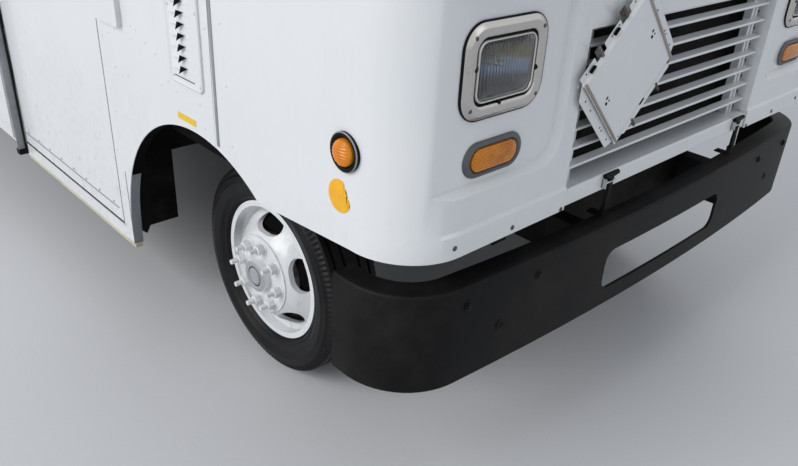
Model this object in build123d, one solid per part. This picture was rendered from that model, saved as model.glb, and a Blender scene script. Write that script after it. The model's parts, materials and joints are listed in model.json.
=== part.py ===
"""Food truck on a walk-in step van body, assembled from its own body panels and chassis parts.

Millimetres. Z is up, the truck faces -Y and its kerb side, with the serving window, is -X.
Lengthwise places are written from the front axle. save() moves the whole truck so that its
origin lies on the ground, at the middle of its length.
"""
import math
import os
from build123d import *

# Main sizes
wheelbase = 4200
front_overhang = 975
rear_overhang = 1950
truck_length = front_overhang + wheelbase + rear_overhang
front_axle_y = -truck_length / 2 + front_overhang
body_half = 1220
cab_step = 40
cab_half = body_half - cab_step

# Heights of the body
nose_bottom = 885
nose_skirt_drop = 37
cowl_height = 1800
eaves_height = 2800
roof_rise = 250
roof_top = eaves_height + roof_rise
floor_top = 960
floor_thickness = 60
sill_bottom = 305
skirt_bottom = 385

# Lengthwise places, from the front axle
nose_face = -910
screen_foot = -560
screen_head = -320
cap_seam = -115
door_front = 660
door_rear = 1735
partition_y = 2690
rear_step = 200
body_rear = wheelbase + rear_overhang - rear_step

# Walls
cab_wall = 30
nose_wall = 34
body_wall = 36
roof_wall = 36
fit = 0.3
door_gap = 5

# Nose
nose_corner = 190
band_proud = 6
band_top = 948
band_bevel = 10
hood_angle = 30
hood_bend = 90
recess_depth = 22
recess_inner = 620
recess_bottom = 1045
recess_top = 1540
recess_corner = 75
recess_slope = 38

# Wheel arches, about the wheel centres
arch_radius = 565
arch_flange = 35

# Grille
grille_half = 560
grille_bottom = 942
grille_top = 1390
grille_gap = 4
jamb_thickness = 12
jamb_depth = 100
slat_count = 7
slat_pitch = 57.3
slat_first = 992
slat_depth = 26
slat_rise = 6
slat_thickness = 4
slat_lip = 10
slat_setback = 22
post_offset = 505
post_width = 44

# Placard holder
placard_side = 305
placard_x = -376
placard_z = 1260
placard_plate = 3
placard_standoff = 22

# Lamps on the nose
lamp_x = 868
lamp_z = 1339
bezel_width = 302
bezel_height = 236
bezel_corner = 62
bezel_proud = 14
lamp_back = 3
glass_width = 204
glass_height = 146
glass_corner = 26
turn_x = 879
turn_z = 1122
turn_width = 213
turn_height = 92
turn_lens_width = 166
turn_lens_height = 58
marker_y = -700
marker_z = 1140
marker_radius = 50

# Front bumper
bumper_bottom = 500
bumper_top = 800
bumper_half = cab_half + 10
bumper_plate = 10
bumper_return = 70
bumper_edge = 9
bumper_bow = 58
bumper_corner = 215
bumper_end = -665
bumper_slot_half = 360

# Wheels and tyres
tyre_radius = 390
tyre_width = 226
tread_width = 190
bead_radius = 248
rim_half_width = 84
flange_radius = 260.5
flange_lip = 6
drop_radius = 228
rim_metal = 7
dish_depth = 120
dish_metal = 12
disc_flat_radius = 145
hub_radius = 58
stud_circle = 112
stud_count = 8
stud_radius = 9
nut_radius = 18
nut_height = 28
stud_length = 56
hand_hole_count = 5
hand_hole_radius = 188
hand_hole_length = 88
hand_hole_width = 58
hand_hole_start = 18
spindle_radius = 30
spindle_fit = 0.3
front_wheel_x = 860
twin_middle_x = 860
drum_radius = 165

# Axles and steering
kingpin_x = 690
kingpin_radius = 20
eye_radius = 42
eye_height = 90
yoke_gap = 2
yoke_plate = 28
beam_width = 70
spring_x = 400
spring_width = 70
spring_seat = tyre_radius + 60
gearbox_rear = 900
gearbox_z = 620

# Frame rails
rail_outer = 435
rail_flange = 75
rail_height = 200
rail_top = 860
rail_plate = 8
rail_front = -780
rail_rear = body_rear - 100

# Chassis parts, lengthwise from the front axle
member_places = (1020, 1750, 2550, 3350, wheelbase + 800)
bearer_places = (700, 1500, 2300, 3100, 3700, wheelbase + 500, body_rear - 650, body_rear - 150)
short_bearer_places = (-300, 200)
bearer_half = 25
front_spring_half = 560
rear_spring_half = 680
engine_half = 250
engine_front = -400
engine_rear = 300
engine_low = 500
engine_high = 1180
radiator_half = 350
radiator_front = -700
radiator_rear = -620
tank_front = 2120
tank_rear = 2920
tank_outer = 960
tank_bottom = 450
tank_top = 830
exhaust_x = -530
exhaust_z = 650
exhaust_front = 700
tail_z = 390
pipe_radius = 32
silencer_y = 2500

# Cab doors
leaf_outer = cab_half - 2
leaf_thickness = 34
leaf_bottom = 382
header_bottom = eaves_height - 240
leaf_top = header_bottom - 10
sill_gap = 10
door_glass_bottom = 1500
door_glass_top = eaves_height - 420
glass_thickness = 6
shoe_length = 60
shoe_inset = 35
handle_bottom = 1400
handle_length = 160

# Hinges
hatch_axis_x = -body_half - 4
shelf_axis_x = -body_half - 6
rear_axis_y = body_rear + 10
hood_axis_up = 5
hood_axis_back = 32
hinge_leaf = 3.5
hinge_reach = 40

# Step wells
tread_depth = 170
well_outer = cab_half - cab_wall - 12
well_middle = well_outer - tread_depth + 2
well_inner = well_middle - tread_depth
well_front = door_front - 5
well_rear = well_front + 810
step_low = 355
step_high = 655
well_plate = 15

# Serving side
window_front = 2850
window_rear = 4650
window_bottom = 1780
window_top = eaves_height - 180
hatch_axis_z = window_top - 3
hatch_gap = 6
shelf_width = 340
shelf_thickness = 24
shelf_drop = 26

# Roof vent
vent_x = 760
vent_y = 3900
vent_curb = 640
curb_height = 30
duct_half = 150

# Rear
rear_door_half = 705
rear_door_bottom = 970
rear_door_top = eaves_height - 115
rear_door_height = rear_door_top - rear_door_bottom
rear_skirt_bottom = 560
rear_hinge_count = 4
rear_rib_count = 3
rear_rib_half = 160
doorway_half = 380
doorway_top = eaves_height - 100

# Kitchen
counter_depth = 560
counter_top = 1760
kitchen_front = 2800
kitchen_rear = 4800
seat_x = cab_half - 580

# Louvre panel and raised cover ahead of the cab door
louvre_front = -57
louvre_rear = 135
louvre_bottom = 1100
louvre_top = 1560
louvre_proud = 5
louvre_pitch = 32.5
louvre_first = 1152
louvre_count = 12
louvre_depth = 11
louvre_height = 19
cover_front = 456
cover_rear = 645
cover_bottom = 1190
cover_top = 1740
cover_proud = 18

# Grille latches
latch_places = (-338, 490)
latch_bottom = 815
latch_top = 938
latch_width = 26
latch_proud = 16


def block(x, y, z):
    """Block between the low and high value of x, y and z."""
    spans = (x, y, z)
    middle = [(low + high) / 2 for low, high in spans]
    return Pos(*middle) * Box(*[high - low for low, high in spans])


def prism_x(points, x):
    """Outline in (y, z), pushed along X."""
    face = make_face(Polyline(*points, close=True))
    return extrude(Plane.YZ.offset(x[0]) * face, x[1] - x[0])


def prism_y(points, y):
    """Outline in (x, z), pushed along Y."""
    face = make_face(Polyline(*points, close=True))
    return extrude(Plane.XZ.offset(-y[1]) * face, y[1] - y[0])


def panel_x(y, z, x, radius):
    """Plate facing X with rounded corners."""
    face = RectangleRounded(y[1] - y[0], z[1] - z[0], radius)
    place = Plane.YZ.offset(x[0]) * Pos((y[0] + y[1]) / 2, (z[0] + z[1]) / 2)
    return extrude(place * face, x[1] - x[0])


def panel_y(x, z, y, radius):
    """Plate facing Y with rounded corners."""
    face = RectangleRounded(x[1] - x[0], z[1] - z[0], radius)
    place = Plane.XZ.offset(-y[1]) * Pos((x[0] + x[1]) / 2, (z[0] + z[1]) / 2)
    return extrude(place * face, y[1] - y[0])


def rod(start, end, radius):
    """Round bar from one point to another."""
    path = Line(start, end)
    return sweep(Plane(start, z_dir=path % 0) * Circle(radius), path=path)


def disc_x(x, y, z, radius):
    """Cylinder along X between two x values."""
    middle = (x[0] + x[1]) / 2
    return Pos(middle, y, z) * Rot(0, 90, 0) * Cylinder(radius, abs(x[1] - x[0]))


def disc_z(x, y, z, radius):
    """Cylinder along Z between two z values."""
    return Pos(x, y, (z[0] + z[1]) / 2) * Cylinder(radius, z[1] - z[0])


def turned_x(points):
    """Outline in (distance along X, radius), turned about the X axis."""
    face = make_face(Polyline(*points, close=True))
    return revolve(face, axis=Axis.X)


def mirrored(solid):
    """The same piece on the other side of the truck."""
    return mirror(solid, about=Plane.YZ)


def save(name, *solids):
    """Write one node, with its lengthwise places moved to the middle of the truck."""
    placed = [Pos(0, front_axle_y, 0) * solid for solid in solids]
    loose = [part for solid in placed for part in solid.solids()]
    shape = loose[0] if len(loose) == 1 else Compound(loose)
    export_step(shape, f"parts/{name}.step")


def save_pair(name, solid):
    """The kerb-side piece, given at -X, and its mirror image."""
    save(f"{name}_right", solid)
    save(f"{name}_left", mirrored(solid))


# Nose, screen and hood

def nose_plan(front, half, radius, back):
    """Plan of the cab front: flat face, two round corners, straight sides."""
    outline = Pos(0, (front + back) / 2) * Rectangle(2 * half, back - front)
    return fillet(outline.vertices().sort_by(Axis.Y)[:2], radius)


def hood_line(inset):
    """A point on the hood slope and the slope of the line through it."""
    tilt = math.radians(hood_angle)
    return (screen_foot + inset * math.sin(tilt), cowl_height - inset * math.cos(tilt)), math.tan(tilt)


def hood_cut(inset):
    """What is taken off above the hood. Outside, a round bend joins nose face and slope."""
    (pivot_y, pivot_z), slope = hood_line(inset)
    face = nose_face + inset
    fold_z = pivot_z + (face - pivot_y) * slope
    far_y = -100
    far_z = pivot_z + (far_y - pivot_y) * slope
    ahead = nose_face - 300
    under = fold_z - hood_bend
    outline = make_face(Polyline((face, under), (face, fold_z), (far_y, far_z), (ahead, far_z),
                                 (ahead, under), close=True))
    if inset == 0:
        fold = outline.vertices().sort_by_distance((face, fold_z, 0))[0]
        outline = fillet(fold, hood_bend)
    width = 2 * body_half + 200
    return extrude(Plane.YZ.offset(-width / 2) * outline, width)


def nose_form(inset):
    """Nose from its lowest band up to the cowl, drawn in by the inset."""
    low = nose_bottom - nose_skirt_drop - (inset > 0)
    bevel_top = band_top + band_bevel

    def layer(front, z):
        plan = nose_plan(front + inset, cab_half - inset, nose_corner - inset, cap_seam)
        return Plane.XY.offset(z) * plan

    proud = nose_face - band_proud
    form = extrude(layer(proud, low), band_top - low)
    form += loft([layer(proud, band_top), layer(nose_face, bevel_top)], ruled=True)
    form += extrude(layer(nose_face, bevel_top), cowl_height + (inset > 0) - bevel_top)
    return form - hood_cut(inset)


def lamp_recess():
    """Sunk lamp field of the kerb side, with sloped edges, running out round the corner."""
    width = 900
    middle = -(recess_inner + width / 2)
    height = recess_top - recess_bottom
    face = RectangleRounded(width, height, recess_corner)
    mouth = Plane.XZ.offset(-nose_face) * Pos(middle, (recess_bottom + recess_top) / 2) * face
    field = extrude(mouth, -recess_depth, taper=recess_slope)
    opening = extrude(mouth, 60)
    floor = nose_plan(nose_face + recess_depth, cab_half, nose_corner, cap_seam)
    return field + opening, extrude(Plane.XY.offset(nose_bottom) * floor, cowl_height)


def wheel_arch(y, reach):
    """Round cut of a wheel arch, open downwards, across the whole truck."""
    width = 2 * body_half + 100
    round_part = Pos(0, y, tyre_radius) * Rot(0, 90, 0) * Cylinder(reach, width)
    return round_part + block((-width / 2, width / 2), (y - reach, y + reach), (-10, tyre_radius))


def nose_skirt_cut():
    """Lower edge of the nose: level in front, dropping towards the wheel arch."""
    corner_end = nose_face + nose_corner
    arch_start = -math.sqrt(arch_radius ** 2 - (nose_bottom - nose_skirt_drop - tyre_radius) ** 2)
    low = nose_bottom - nose_skirt_drop
    front = nose_face - 100
    points = ((front, low - 50), (front, nose_bottom), (corner_end, nose_bottom), (arch_start, low),
              (arch_start, low - 50))
    return prism_x(points, (-body_half, body_half))


def front_cap():
    cap = nose_form(0) - nose_form(nose_wall)
    mouth, floor = lamp_recess()
    sunk = mouth - floor
    cap -= sunk
    cap -= mirrored(sunk)
    cap -= wheel_arch(0, arch_radius)
    cap -= nose_skirt_cut()
    jamb_back = nose_face + jamb_depth
    jamb_front = nose_face + nose_wall - 4
    low = nose_bottom
    cap += block((-grille_half - jamb_thickness, grille_half + jamb_thickness), (jamb_front, jamb_back),
                 (low, grille_top + jamb_thickness))
    cap -= block((-grille_half, grille_half), (nose_face - 50, jamb_back + 50), (low - 60, grille_top))
    for side in (-1, 1):
        cap -= panel_y((side * lamp_x - 94, side * lamp_x + 94), (lamp_z - 66, lamp_z + 66),
                       (nose_face - 10, nose_face + 80), 20)
    return cap - hood_opening(0)


def hood_opening(gap):
    """Lid opening in the hood slope, square to the slope, with the lid's gap taken in."""
    (pivot_y, pivot_z), slope = hood_line(0)
    tilt = Plane((0, pivot_y, pivot_z), x_dir=(1, 0, 0), z_dir=(0, -math.sin(math.radians(hood_angle)),
                                                                math.cos(math.radians(hood_angle))))
    lid_length = 300
    middle = Pos(0, -40 - lid_length / 2)
    face = RectangleRounded(2 * grille_half - 2 * gap, lid_length - 2 * gap, 30 - gap)
    return extrude(tilt * middle * face, 60, both=True)


def hood_lid():
    """Lid with two hinges whose barrels lie just above the hood."""
    lid = (nose_form(0) - nose_form(nose_wall)) & hood_opening(door_gap)
    (pivot_y, pivot_z), _ = hood_line(0)
    slope = Pos(0, pivot_y, pivot_z) * Rot(hood_angle, 0, 0)
    for x in (-350, 350):
        barrel = Pos(x, -hood_axis_back, hood_axis_up) * Rot(0, 90, 0) * Cylinder(hood_axis_up - fit, 90)
        leaf = block((x - 45, x + 45), (-hood_axis_back - hinge_reach, -hood_axis_back), (fit, hinge_leaf))
        foot = block((x - 45, x + 45), (-hood_axis_back - hinge_reach, -40 - door_gap - 3), (-2, hinge_leaf))
        lid += slope * (barrel + leaf + foot)
    return lid


def screen_form(inset):
    """Cab front between cowl and eaves, leaning back, drawn in by the inset."""
    radius = 150
    low = nose_plan(screen_foot + inset, cab_half - inset, radius - inset, cap_seam)
    high = nose_plan(screen_head + inset, cab_half - inset, radius - inset, cap_seam)
    return loft([Plane.XY.offset(cowl_height) * low, Plane.XY.offset(eaves_height) * high], ruled=True)


def screen_openings(gap):
    """The two windscreen panes, either side of the middle post."""
    return [panel_y((x - 485 + gap, x + 485 - gap), (cowl_height + 70 + gap, eaves_height - 130 - gap),
                    (screen_foot - 100, screen_head + 260), 60) for x in (-530, 530)]


def windshield_frame():
    frame = screen_form(0) - screen_form(cab_wall)
    for opening in screen_openings(0):
        frame -= opening
    return frame


def quarter_window(gap):
    """Side window of the kerb side, between windscreen pillar and door."""
    return panel_x((cap_seam + 105 + gap, door_front - 90 - gap), (cowl_height + gap, eaves_height - 320 - gap),
                   (-cab_half - 5, -cab_half + cab_wall + 5), 50)


def cab_glass():
    panes = screen_form(10) - screen_form(10 + glass_thickness)
    glass = [panes & opening for opening in screen_openings(fit)]
    slab = block((-cab_half + 12, -cab_half + 12 + glass_thickness), (cap_seam, door_front), (1700, 2600))
    quarter = quarter_window(fit) & slab
    return glass + [quarter, mirrored(quarter)]


def cab_side():
    """Kerb-side cab wall: louvre panel zone, quarter window, arch, and the frame round the door."""
    wall = (-cab_half, -cab_half + cab_wall)
    side = block(wall, (cap_seam, door_front), (sill_bottom + 15, eaves_height))
    side += block(wall, (door_front, door_rear), (sill_bottom, leaf_bottom - sill_gap))
    side += block(wall, (door_front, door_rear), (header_bottom, eaves_height))
    side -= wheel_arch(0, arch_radius)
    side -= quarter_window(0)
    leg = arch_radius - 2
    side += block((-cab_half, -cab_half + arch_flange), (leg, leg + 6), (sill_bottom + 15, tyre_radius + 100))
    side += panel_x((louvre_front, louvre_rear), (louvre_bottom, louvre_top),
                    (-cab_half - louvre_proud, -cab_half + 1), 22)
    for number in range(louvre_count):
        side += louvre(louvre_first + number * louvre_pitch)
    return side + panel_x((cover_front, cover_rear), (cover_bottom, cover_top),
                          (-cab_half - cover_proud, -cab_half + 1), 14)


def louvre(z):
    """One pressed louvre: a wedge that rises from the front to an open mouth at the rear."""
    skin = -cab_half - louvre_proud
    mouth_y = louvre_rear - 35
    root_y = louvre_front + 47
    mouth = ((skin + 1, z), (skin - louvre_depth, z), (skin + 1, z + louvre_height))
    root = ((skin + 1, z), (skin - 0.5, z), (skin + 1, z + louvre_height))
    back = Plane.XZ.offset(-mouth_y) * make_face(Polyline(*mouth, close=True))
    front = Plane.XZ.offset(-root_y) * make_face(Polyline(*root, close=True))
    hollow = ((skin + 1, z + 2), (skin - louvre_depth + 3, z + 2), (skin + 1, z + louvre_height - 5))
    return loft([front, back], ruled=True) - prism_y(hollow, (mouth_y - 14, mouth_y + 1))


# Doors

def door_window(gap):
    return panel_x((door_front + 200 + gap, door_rear - 200 - gap),
                   (door_glass_bottom + gap, door_glass_top - gap),
                   (-leaf_outer - 5, -leaf_outer + leaf_thickness + 5), 60)


def cab_door():
    """Sliding leaf of the kerb side, flush with the cab wall."""
    leaf = block((-leaf_outer, -leaf_outer + leaf_thickness),
                 (door_front + door_gap, door_rear - door_gap), (leaf_bottom, leaf_top))
    leaf -= door_window(0)
    shoe = (-leaf_outer + 8, -leaf_outer + 24)
    sill = leaf_bottom - sill_gap
    for y in (door_front + shoe_inset, door_rear - shoe_inset - shoe_length):
        leaf += block(shoe, (y, y + shoe_length), (sill + fit, leaf_bottom + 1))
        leaf += block(shoe, (y, y + shoe_length), (leaf_top - 1, header_bottom - fit))
    grip_y = (door_front + 45, door_front + 65)
    grip = block((-leaf_outer - 30, -leaf_outer + 1), grip_y, (handle_bottom, handle_bottom + handle_length))
    grip -= block((-leaf_outer - 18, -leaf_outer), (grip_y[0] - 1, grip_y[1] + 1),
                  (handle_bottom + 18, handle_bottom + handle_length - 18))
    return leaf + grip


def door_glass():
    inner = -leaf_outer + 14
    slab = block((inner, inner + glass_thickness), (door_front, door_rear), (leaf_bottom, leaf_top))
    return door_window(fit) & slab


def rear_door():
    """Kerb-side rear door leaf with three pressed ribs."""
    leaf = block((-rear_door_half + door_gap, -3), (body_rear - body_wall, body_rear),
                 (rear_door_bottom, rear_door_top))
    rib_pitch = (rear_door_height - 615) / (rear_rib_count - 1)
    for number in range(rear_rib_count):
        z = rear_door_bottom + 280 + number * rib_pitch
        leaf -= panel_y((-rear_door_half + 90, -90), (z - rear_rib_half, z + rear_rib_half),
                        (body_rear - 8, body_rear + 5), 40)
    barrel = rear_axis_y - body_rear - fit
    hinge_pitch = (rear_door_height - 350) / (rear_hinge_count - 1)
    for number in range(rear_hinge_count):
        z = rear_door_bottom + 150 + number * hinge_pitch
        leaf += Pos(-rear_door_half, rear_axis_y, z) * Cylinder(barrel, 80)
        leaf += block((-rear_door_half + 1.5, -rear_door_half + 75), (body_rear - 1, body_rear + 6),
                      (z - 35, z + 35))
    return leaf


# Body

def body_side():
    """Kerb-side body wall, without its window."""
    wall = block((-body_half, -body_half + body_wall), (door_rear, body_rear), (skirt_bottom, eaves_height))
    return wall - wheel_arch(wheelbase, arch_radius - 60)


def window_opening(gap):
    return block((-body_half - 10, -body_half + body_wall + 10),
                 (window_front + gap, window_rear - gap), (window_bottom + gap, window_top - gap))


def serving_hatch():
    wall = block((-body_half, -body_half + body_wall), (door_rear, body_rear), (skirt_bottom, eaves_height))
    hatch = wall & window_opening(hatch_gap)
    inner = block((-body_half + 8, -body_half + body_wall + 5),
                  (window_front + 60, window_rear - 60), (window_bottom + 60, window_top - 60))
    hatch -= inner
    y = (window_front + hatch_gap, window_rear - hatch_gap)
    corner = math.hypot(-body_half - hatch_axis_x, window_top - hatch_axis_z)
    hatch += rod((hatch_axis_x, y[0], hatch_axis_z), (hatch_axis_x, y[1], hatch_axis_z), corner - fit)
    leaf_top_z = hatch_axis_z - 1
    return hatch + block((-body_half - hinge_leaf, -body_half + 1), y, (leaf_top_z - hinge_reach, leaf_top_z))


def serving_shelf():
    """Fold-down shelf under the window, hanging along the wall from its hinge barrel."""
    top = window_bottom - shelf_drop
    y = (window_front + 30, window_rear - 30)
    shelf = block((shelf_axis_x - shelf_thickness, shelf_axis_x), (window_front, window_rear),
                  (top - shelf_width, top))
    shelf = fillet(shelf.edges().filter_by(Axis.X), 28)
    barrel = -body_half - shelf_axis_x - fit
    return shelf + rod((shelf_axis_x, y[0], top), (shelf_axis_x, y[1], top), barrel)


def roof():
    front = screen_head - 30
    plan = Pos(0, (front + body_rear) / 2) * Rectangle(2 * body_half, body_rear - front)
    plan = fillet(plan.vertices().sort_by(Axis.Y)[:2], 190)
    form = extrude(Plane.XY.offset(eaves_height) * plan, roof_top - eaves_height)
    form = fillet(form.faces().sort_by(Axis.Z)[-1].edges(), 90)
    under = roof_top - roof_wall
    cab_half_inner = cab_half - cab_wall
    cab_plan = nose_plan(screen_head + cab_wall, cab_half_inner, 120, door_rear)
    form -= extrude(Plane.XY.offset(eaves_height - 1) * cab_plan, under - eaves_height + 1)
    inner = body_half - body_wall
    form -= block((-inner, inner), (door_rear - 1, body_rear - body_wall), (eaves_height - 1, under))
    half = vent_curb / 2
    return form + block((vent_x - half, vent_x + half), (vent_y - half, vent_y + half),
                        (roof_top - 1, roof_top + curb_height))


def roof_vent():
    """Round extractor on its curb."""
    profile = ((0, 0), (210, 0), (210, 110), (260, 110), (290, 150), (290, 190), (200, 250), (0, 262))
    face = make_face(Polyline(*profile, close=True))
    vent = revolve(Plane.XZ * face, axis=Axis.Z)
    return Pos(vent_x, vent_y, roof_top + curb_height) * vent


def rear_frame():
    half = body_half - body_wall
    depth = (body_rear - body_wall, body_rear)
    frame = block((-half, half), depth, (rear_skirt_bottom, eaves_height))
    return frame - block((-rear_door_half, rear_door_half), (depth[0] - 10, depth[1] + 10),
                         (rear_door_bottom - door_gap, rear_door_top + door_gap))


def floor():
    """Cab and kitchen floor, with openings for the engine and the two step wells."""
    z = (floor_top - floor_thickness, floor_top)
    cab = block((-well_outer, well_outer), (cap_seam - 350, partition_y), z)
    kitchen_half = body_half - body_wall
    plate = cab + block((-kitchen_half, kitchen_half), (partition_y, body_rear - body_wall), z)
    plate -= block((-310, 310), (cap_seam - 400, 350), (z[0] - 10, z[1] + 10))
    for side in (-1, 1):
        low, high = sorted((side * well_inner, side * (well_outer + 20)))
        plate -= block((low, high), (well_front + well_plate, well_rear - well_plate), (z[0] - 10, z[1] + 10))
    return plate


def step_well():
    """Kerb-side step well: two treads, two risers and its end walls."""
    t = well_plate
    under = floor_top - floor_thickness
    stair = ((-cab_half + cab_wall, step_low), (-well_middle, step_low), (-well_middle, step_high),
             (-well_inner, step_high), (-well_inner, under), (-well_inner + t, under),
             (-well_inner + t, step_high - t), (-well_middle + t, step_high - t),
             (-well_middle + t, step_low - t), (-cab_half + cab_wall, step_low - t))
    well = prism_y(stair, (well_front, well_rear))
    end = ((-well_outer, step_low - t), (-well_middle + t, step_low - t), (-well_middle + t, step_high - t),
           (-well_inner + t, step_high - t), (-well_inner + t, under), (-well_outer, under))
    well += prism_y(end, (well_front, well_front + t))
    well += prism_y(end, (well_rear - t, well_rear))
    return well


def partition():
    half = body_half - body_wall
    wall = block((-half, half), (partition_y, partition_y + 30), (floor_top, roof_top - roof_wall))
    return wall - block((-doorway_half, doorway_half), (partition_y - 10, partition_y + 40),
                        (floor_top - 1, doorway_top))


# Chassis

def frame_rails():
    """Two channel rails, open to the middle."""
    bottom = rail_top - rail_height
    inner = rail_outer - rail_flange
    web = rail_outer - rail_plate
    channel = ((rail_outer, bottom), (rail_outer, rail_top), (inner, rail_top), (inner, rail_top - rail_plate),
               (web, rail_top - rail_plate), (web, bottom + rail_plate), (inner, bottom + rail_plate),
               (inner, bottom))
    rail = prism_y(channel, (rail_front, rail_rear))
    return [rail, mirrored(rail)]


def cross_members():
    """Members between the rail webs, and bearers that carry the floor on the rails."""
    web = rail_outer - rail_plate
    inside = (rail_top - rail_height + rail_plate, rail_top - rail_plate)
    members = []
    for y in (rail_front + 40, *member_places, rail_rear - 40):
        members.append(block((-web, web), (y - 35, y + 35), inside))
    on_rail = (rail_top, floor_top - floor_thickness)
    for y in bearer_places:
        members.append(block((-rail_outer, rail_outer), (y - bearer_half, y + bearer_half), on_rail))
    for y in short_bearer_places:
        for x in ((-rail_outer, 100 - rail_outer), (rail_outer - 100, rail_outer)):
            members.append(block(x, (y - bearer_half, y + bearer_half), on_rail))
    return members


def leaf_spring(y, span, low):
    """Three-leaf spring pack under the kerb-side rail, with its two hangers."""
    bottom = rail_top - rail_height
    x = (-spring_x - spring_width / 2, -spring_x + spring_width / 2)
    pack = None
    for number, share in enumerate((1.0, 0.72, 0.45)):
        reach = span * share
        rise = (bottom - 60 - low - 36) * share ** 2
        base = low + 24 - 12 * number
        under = ThreePointArc((y - reach, base + rise), (y, base), (y + reach, base + rise))
        upper = ThreePointArc((y + reach, base + rise + 12), (y, base + 12), (y - reach, base + rise + 12))
        outline = [under, Line(under @ 1, upper @ 0), upper, Line(upper @ 1, under @ 0)]
        leaf = extrude(Plane.YZ.offset(x[0]) * make_face(outline), x[1] - x[0])
        pack = leaf if pack is None else pack + leaf
    eye_z = low + 24 + (bottom - 60 - low - 36)
    for end in (-1, 1):
        pack += block(x, (y + end * span - 25, y + end * span + 25), (eye_z - 10, bottom))
    pack += block((x[0] - 8, x[1] + 8), (y - 65, y + 65), (low, low + 50))
    return pack


def front_axle():
    """Dropped beam with an eye for each kingpin and a seat for each spring."""
    low = tyre_radius - 60
    eye_low = tyre_radius - eye_height / 2
    eye_high = tyre_radius + eye_height / 2
    half = kingpin_x
    outline = ((-half, eye_low), (-half + 90, eye_low), (-half + 190, low - 30), (half - 190, low - 30),
               (half - 90, eye_low), (half, eye_low), (half, eye_high), (half - 110, eye_high),
               (half - 210, low + 50), (-half + 210, low + 50), (-half + 110, eye_high), (-half, eye_high))
    beam = prism_y(outline, (-beam_width / 2, beam_width / 2))
    for side in (-1, 1):
        beam += disc_z(side * kingpin_x, 0, (eye_low, eye_high), eye_radius)
        beam += block((side * spring_x - 43, side * spring_x + 43), (-60, 60), (low + 20, spring_seat))
    for side in (-1, 1):
        beam -= disc_z(side * kingpin_x, 0, (eye_low - 20, eye_high + 20), kingpin_radius + spindle_fit)
    return beam


def knuckle():
    """Kerb-side steering knuckle: kingpin, yoke, brake plate and stub axle."""
    high = tyre_radius + eye_height / 2 + yoke_gap
    low = tyre_radius - eye_height / 2 - yoke_gap
    web = (-kingpin_x - 70, -kingpin_x - 52)
    part = block((-kingpin_x - 60, -kingpin_x + 30), (-40, 40), (high, high + yoke_plate))
    part += block((-kingpin_x - 60, -kingpin_x + 30), (-40, 40), (low - yoke_plate, low))
    part += block(web, (-45, 45), (low - yoke_plate, high + yoke_plate))
    part += disc_z(-kingpin_x, 0, (low - yoke_plate, high + yoke_plate), kingpin_radius)
    part += disc_x((-kingpin_x - 78, -kingpin_x - 70), 0, tyre_radius, drum_radius)
    part += disc_x((-front_wheel_x - 60, -kingpin_x - 70), 0, tyre_radius, spindle_radius)
    return part


def rear_axle():
    """Axle tube, differential, stub ends and the drive shaft that runs forward."""
    z = tyre_radius
    axle = disc_x((-590, 590), wheelbase, z, 58)
    axle += Pos(0, wheelbase, z) * Rot(0, 90, 0) * Cylinder(165, 190)
    axle += disc_x((-twin_middle_x - 60, twin_middle_x + 60), wheelbase, z, spindle_radius)
    axle += rod((0, wheelbase, z), (0, wheelbase - 330, z + 20), 70)
    axle += rod((0, wheelbase - 300, z + 20), (0, gearbox_rear + 12, gearbox_z), 45)
    axle += Pos(0, gearbox_rear + 12, gearbox_z) * Rot(90, 0, 0) * Cylinder(62, 24)
    for side in (-1, 1):
        axle += block((side * spring_x - 43, side * spring_x + 43), (wheelbase - 60, wheelbase + 60),
                      (z + 20, spring_seat))
    return axle


def engine():
    """Engine block with gearbox, and the radiator behind the grille."""
    motor = block((-engine_half, engine_half), (engine_front, engine_rear), (engine_low, engine_high))
    motor += block((-150, 150), (engine_rear, gearbox_rear), (gearbox_z - 130, gearbox_z + 130))
    radiator = block((-radiator_half, radiator_half), (radiator_front, radiator_rear),
                     (rail_top - rail_height + 60, grille_top - 30))
    radiator += block((-engine_half, engine_half), (radiator_rear, engine_front), (800, 900))
    return motor + radiator


def rim(side):
    """Wheel for the street side. side is 1 with the disc outboard, -1 with it inboard."""
    flange = rim_half_width
    inner_flange = flange - flange_lip
    seat = bead_radius - 0.4
    under = seat - rim_metal
    drop = drop_radius
    band = turned_x((
        (-flange, flange_radius), (-inner_flange, flange_radius), (-inner_flange, seat), (-60, seat - 2),
        (-45, drop), (25, drop), (45, seat - 2), (inner_flange, seat), (inner_flange, flange_radius),
        (flange, flange_radius), (flange, under), (48, under - 1), (29, drop - rim_metal),
        (-49, drop - rim_metal), (-64, under - 1), (-flange, under)))
    face = dish_depth
    disc = turned_x((
        (16, drop - 4), (34, drop - 4), (face - 32, disc_flat_radius + 38), (face - 8, disc_flat_radius + 8),
        (face, disc_flat_radius - 6), (face, 0), (face - dish_metal, 0), (face - dish_metal, disc_flat_radius - 10),
        (face - 20, disc_flat_radius), (face - 44, disc_flat_radius + 28)))
    for number in range(hand_hole_count):
        angle = hand_hole_start + number * 360 / hand_hole_count
        hole = extrude(Plane.YZ * SlotOverall(hand_hole_length, hand_hole_width), 200)
        disc -= Rot(-angle, 0, 0) * Pos(-20, -hand_hole_radius, 0) * Rot(90, 0, 0) * hole
    wheel = band + disc
    return wheel if side > 0 else mirrored(wheel)


def nuts(face):
    """Ring of studs and nuts standing out from the plane x = face."""
    ring = []
    for number in range(stud_count):
        angle = math.radians(8 + number * 360 / stud_count)
        y = stud_circle * math.cos(angle)
        z = stud_circle * math.sin(angle)
        ring.append(disc_x((face - 2, face + nut_height), y, z, nut_radius))
        ring.append(disc_x((face - 2, face + stud_length), y, z, stud_radius))
    return ring


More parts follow.
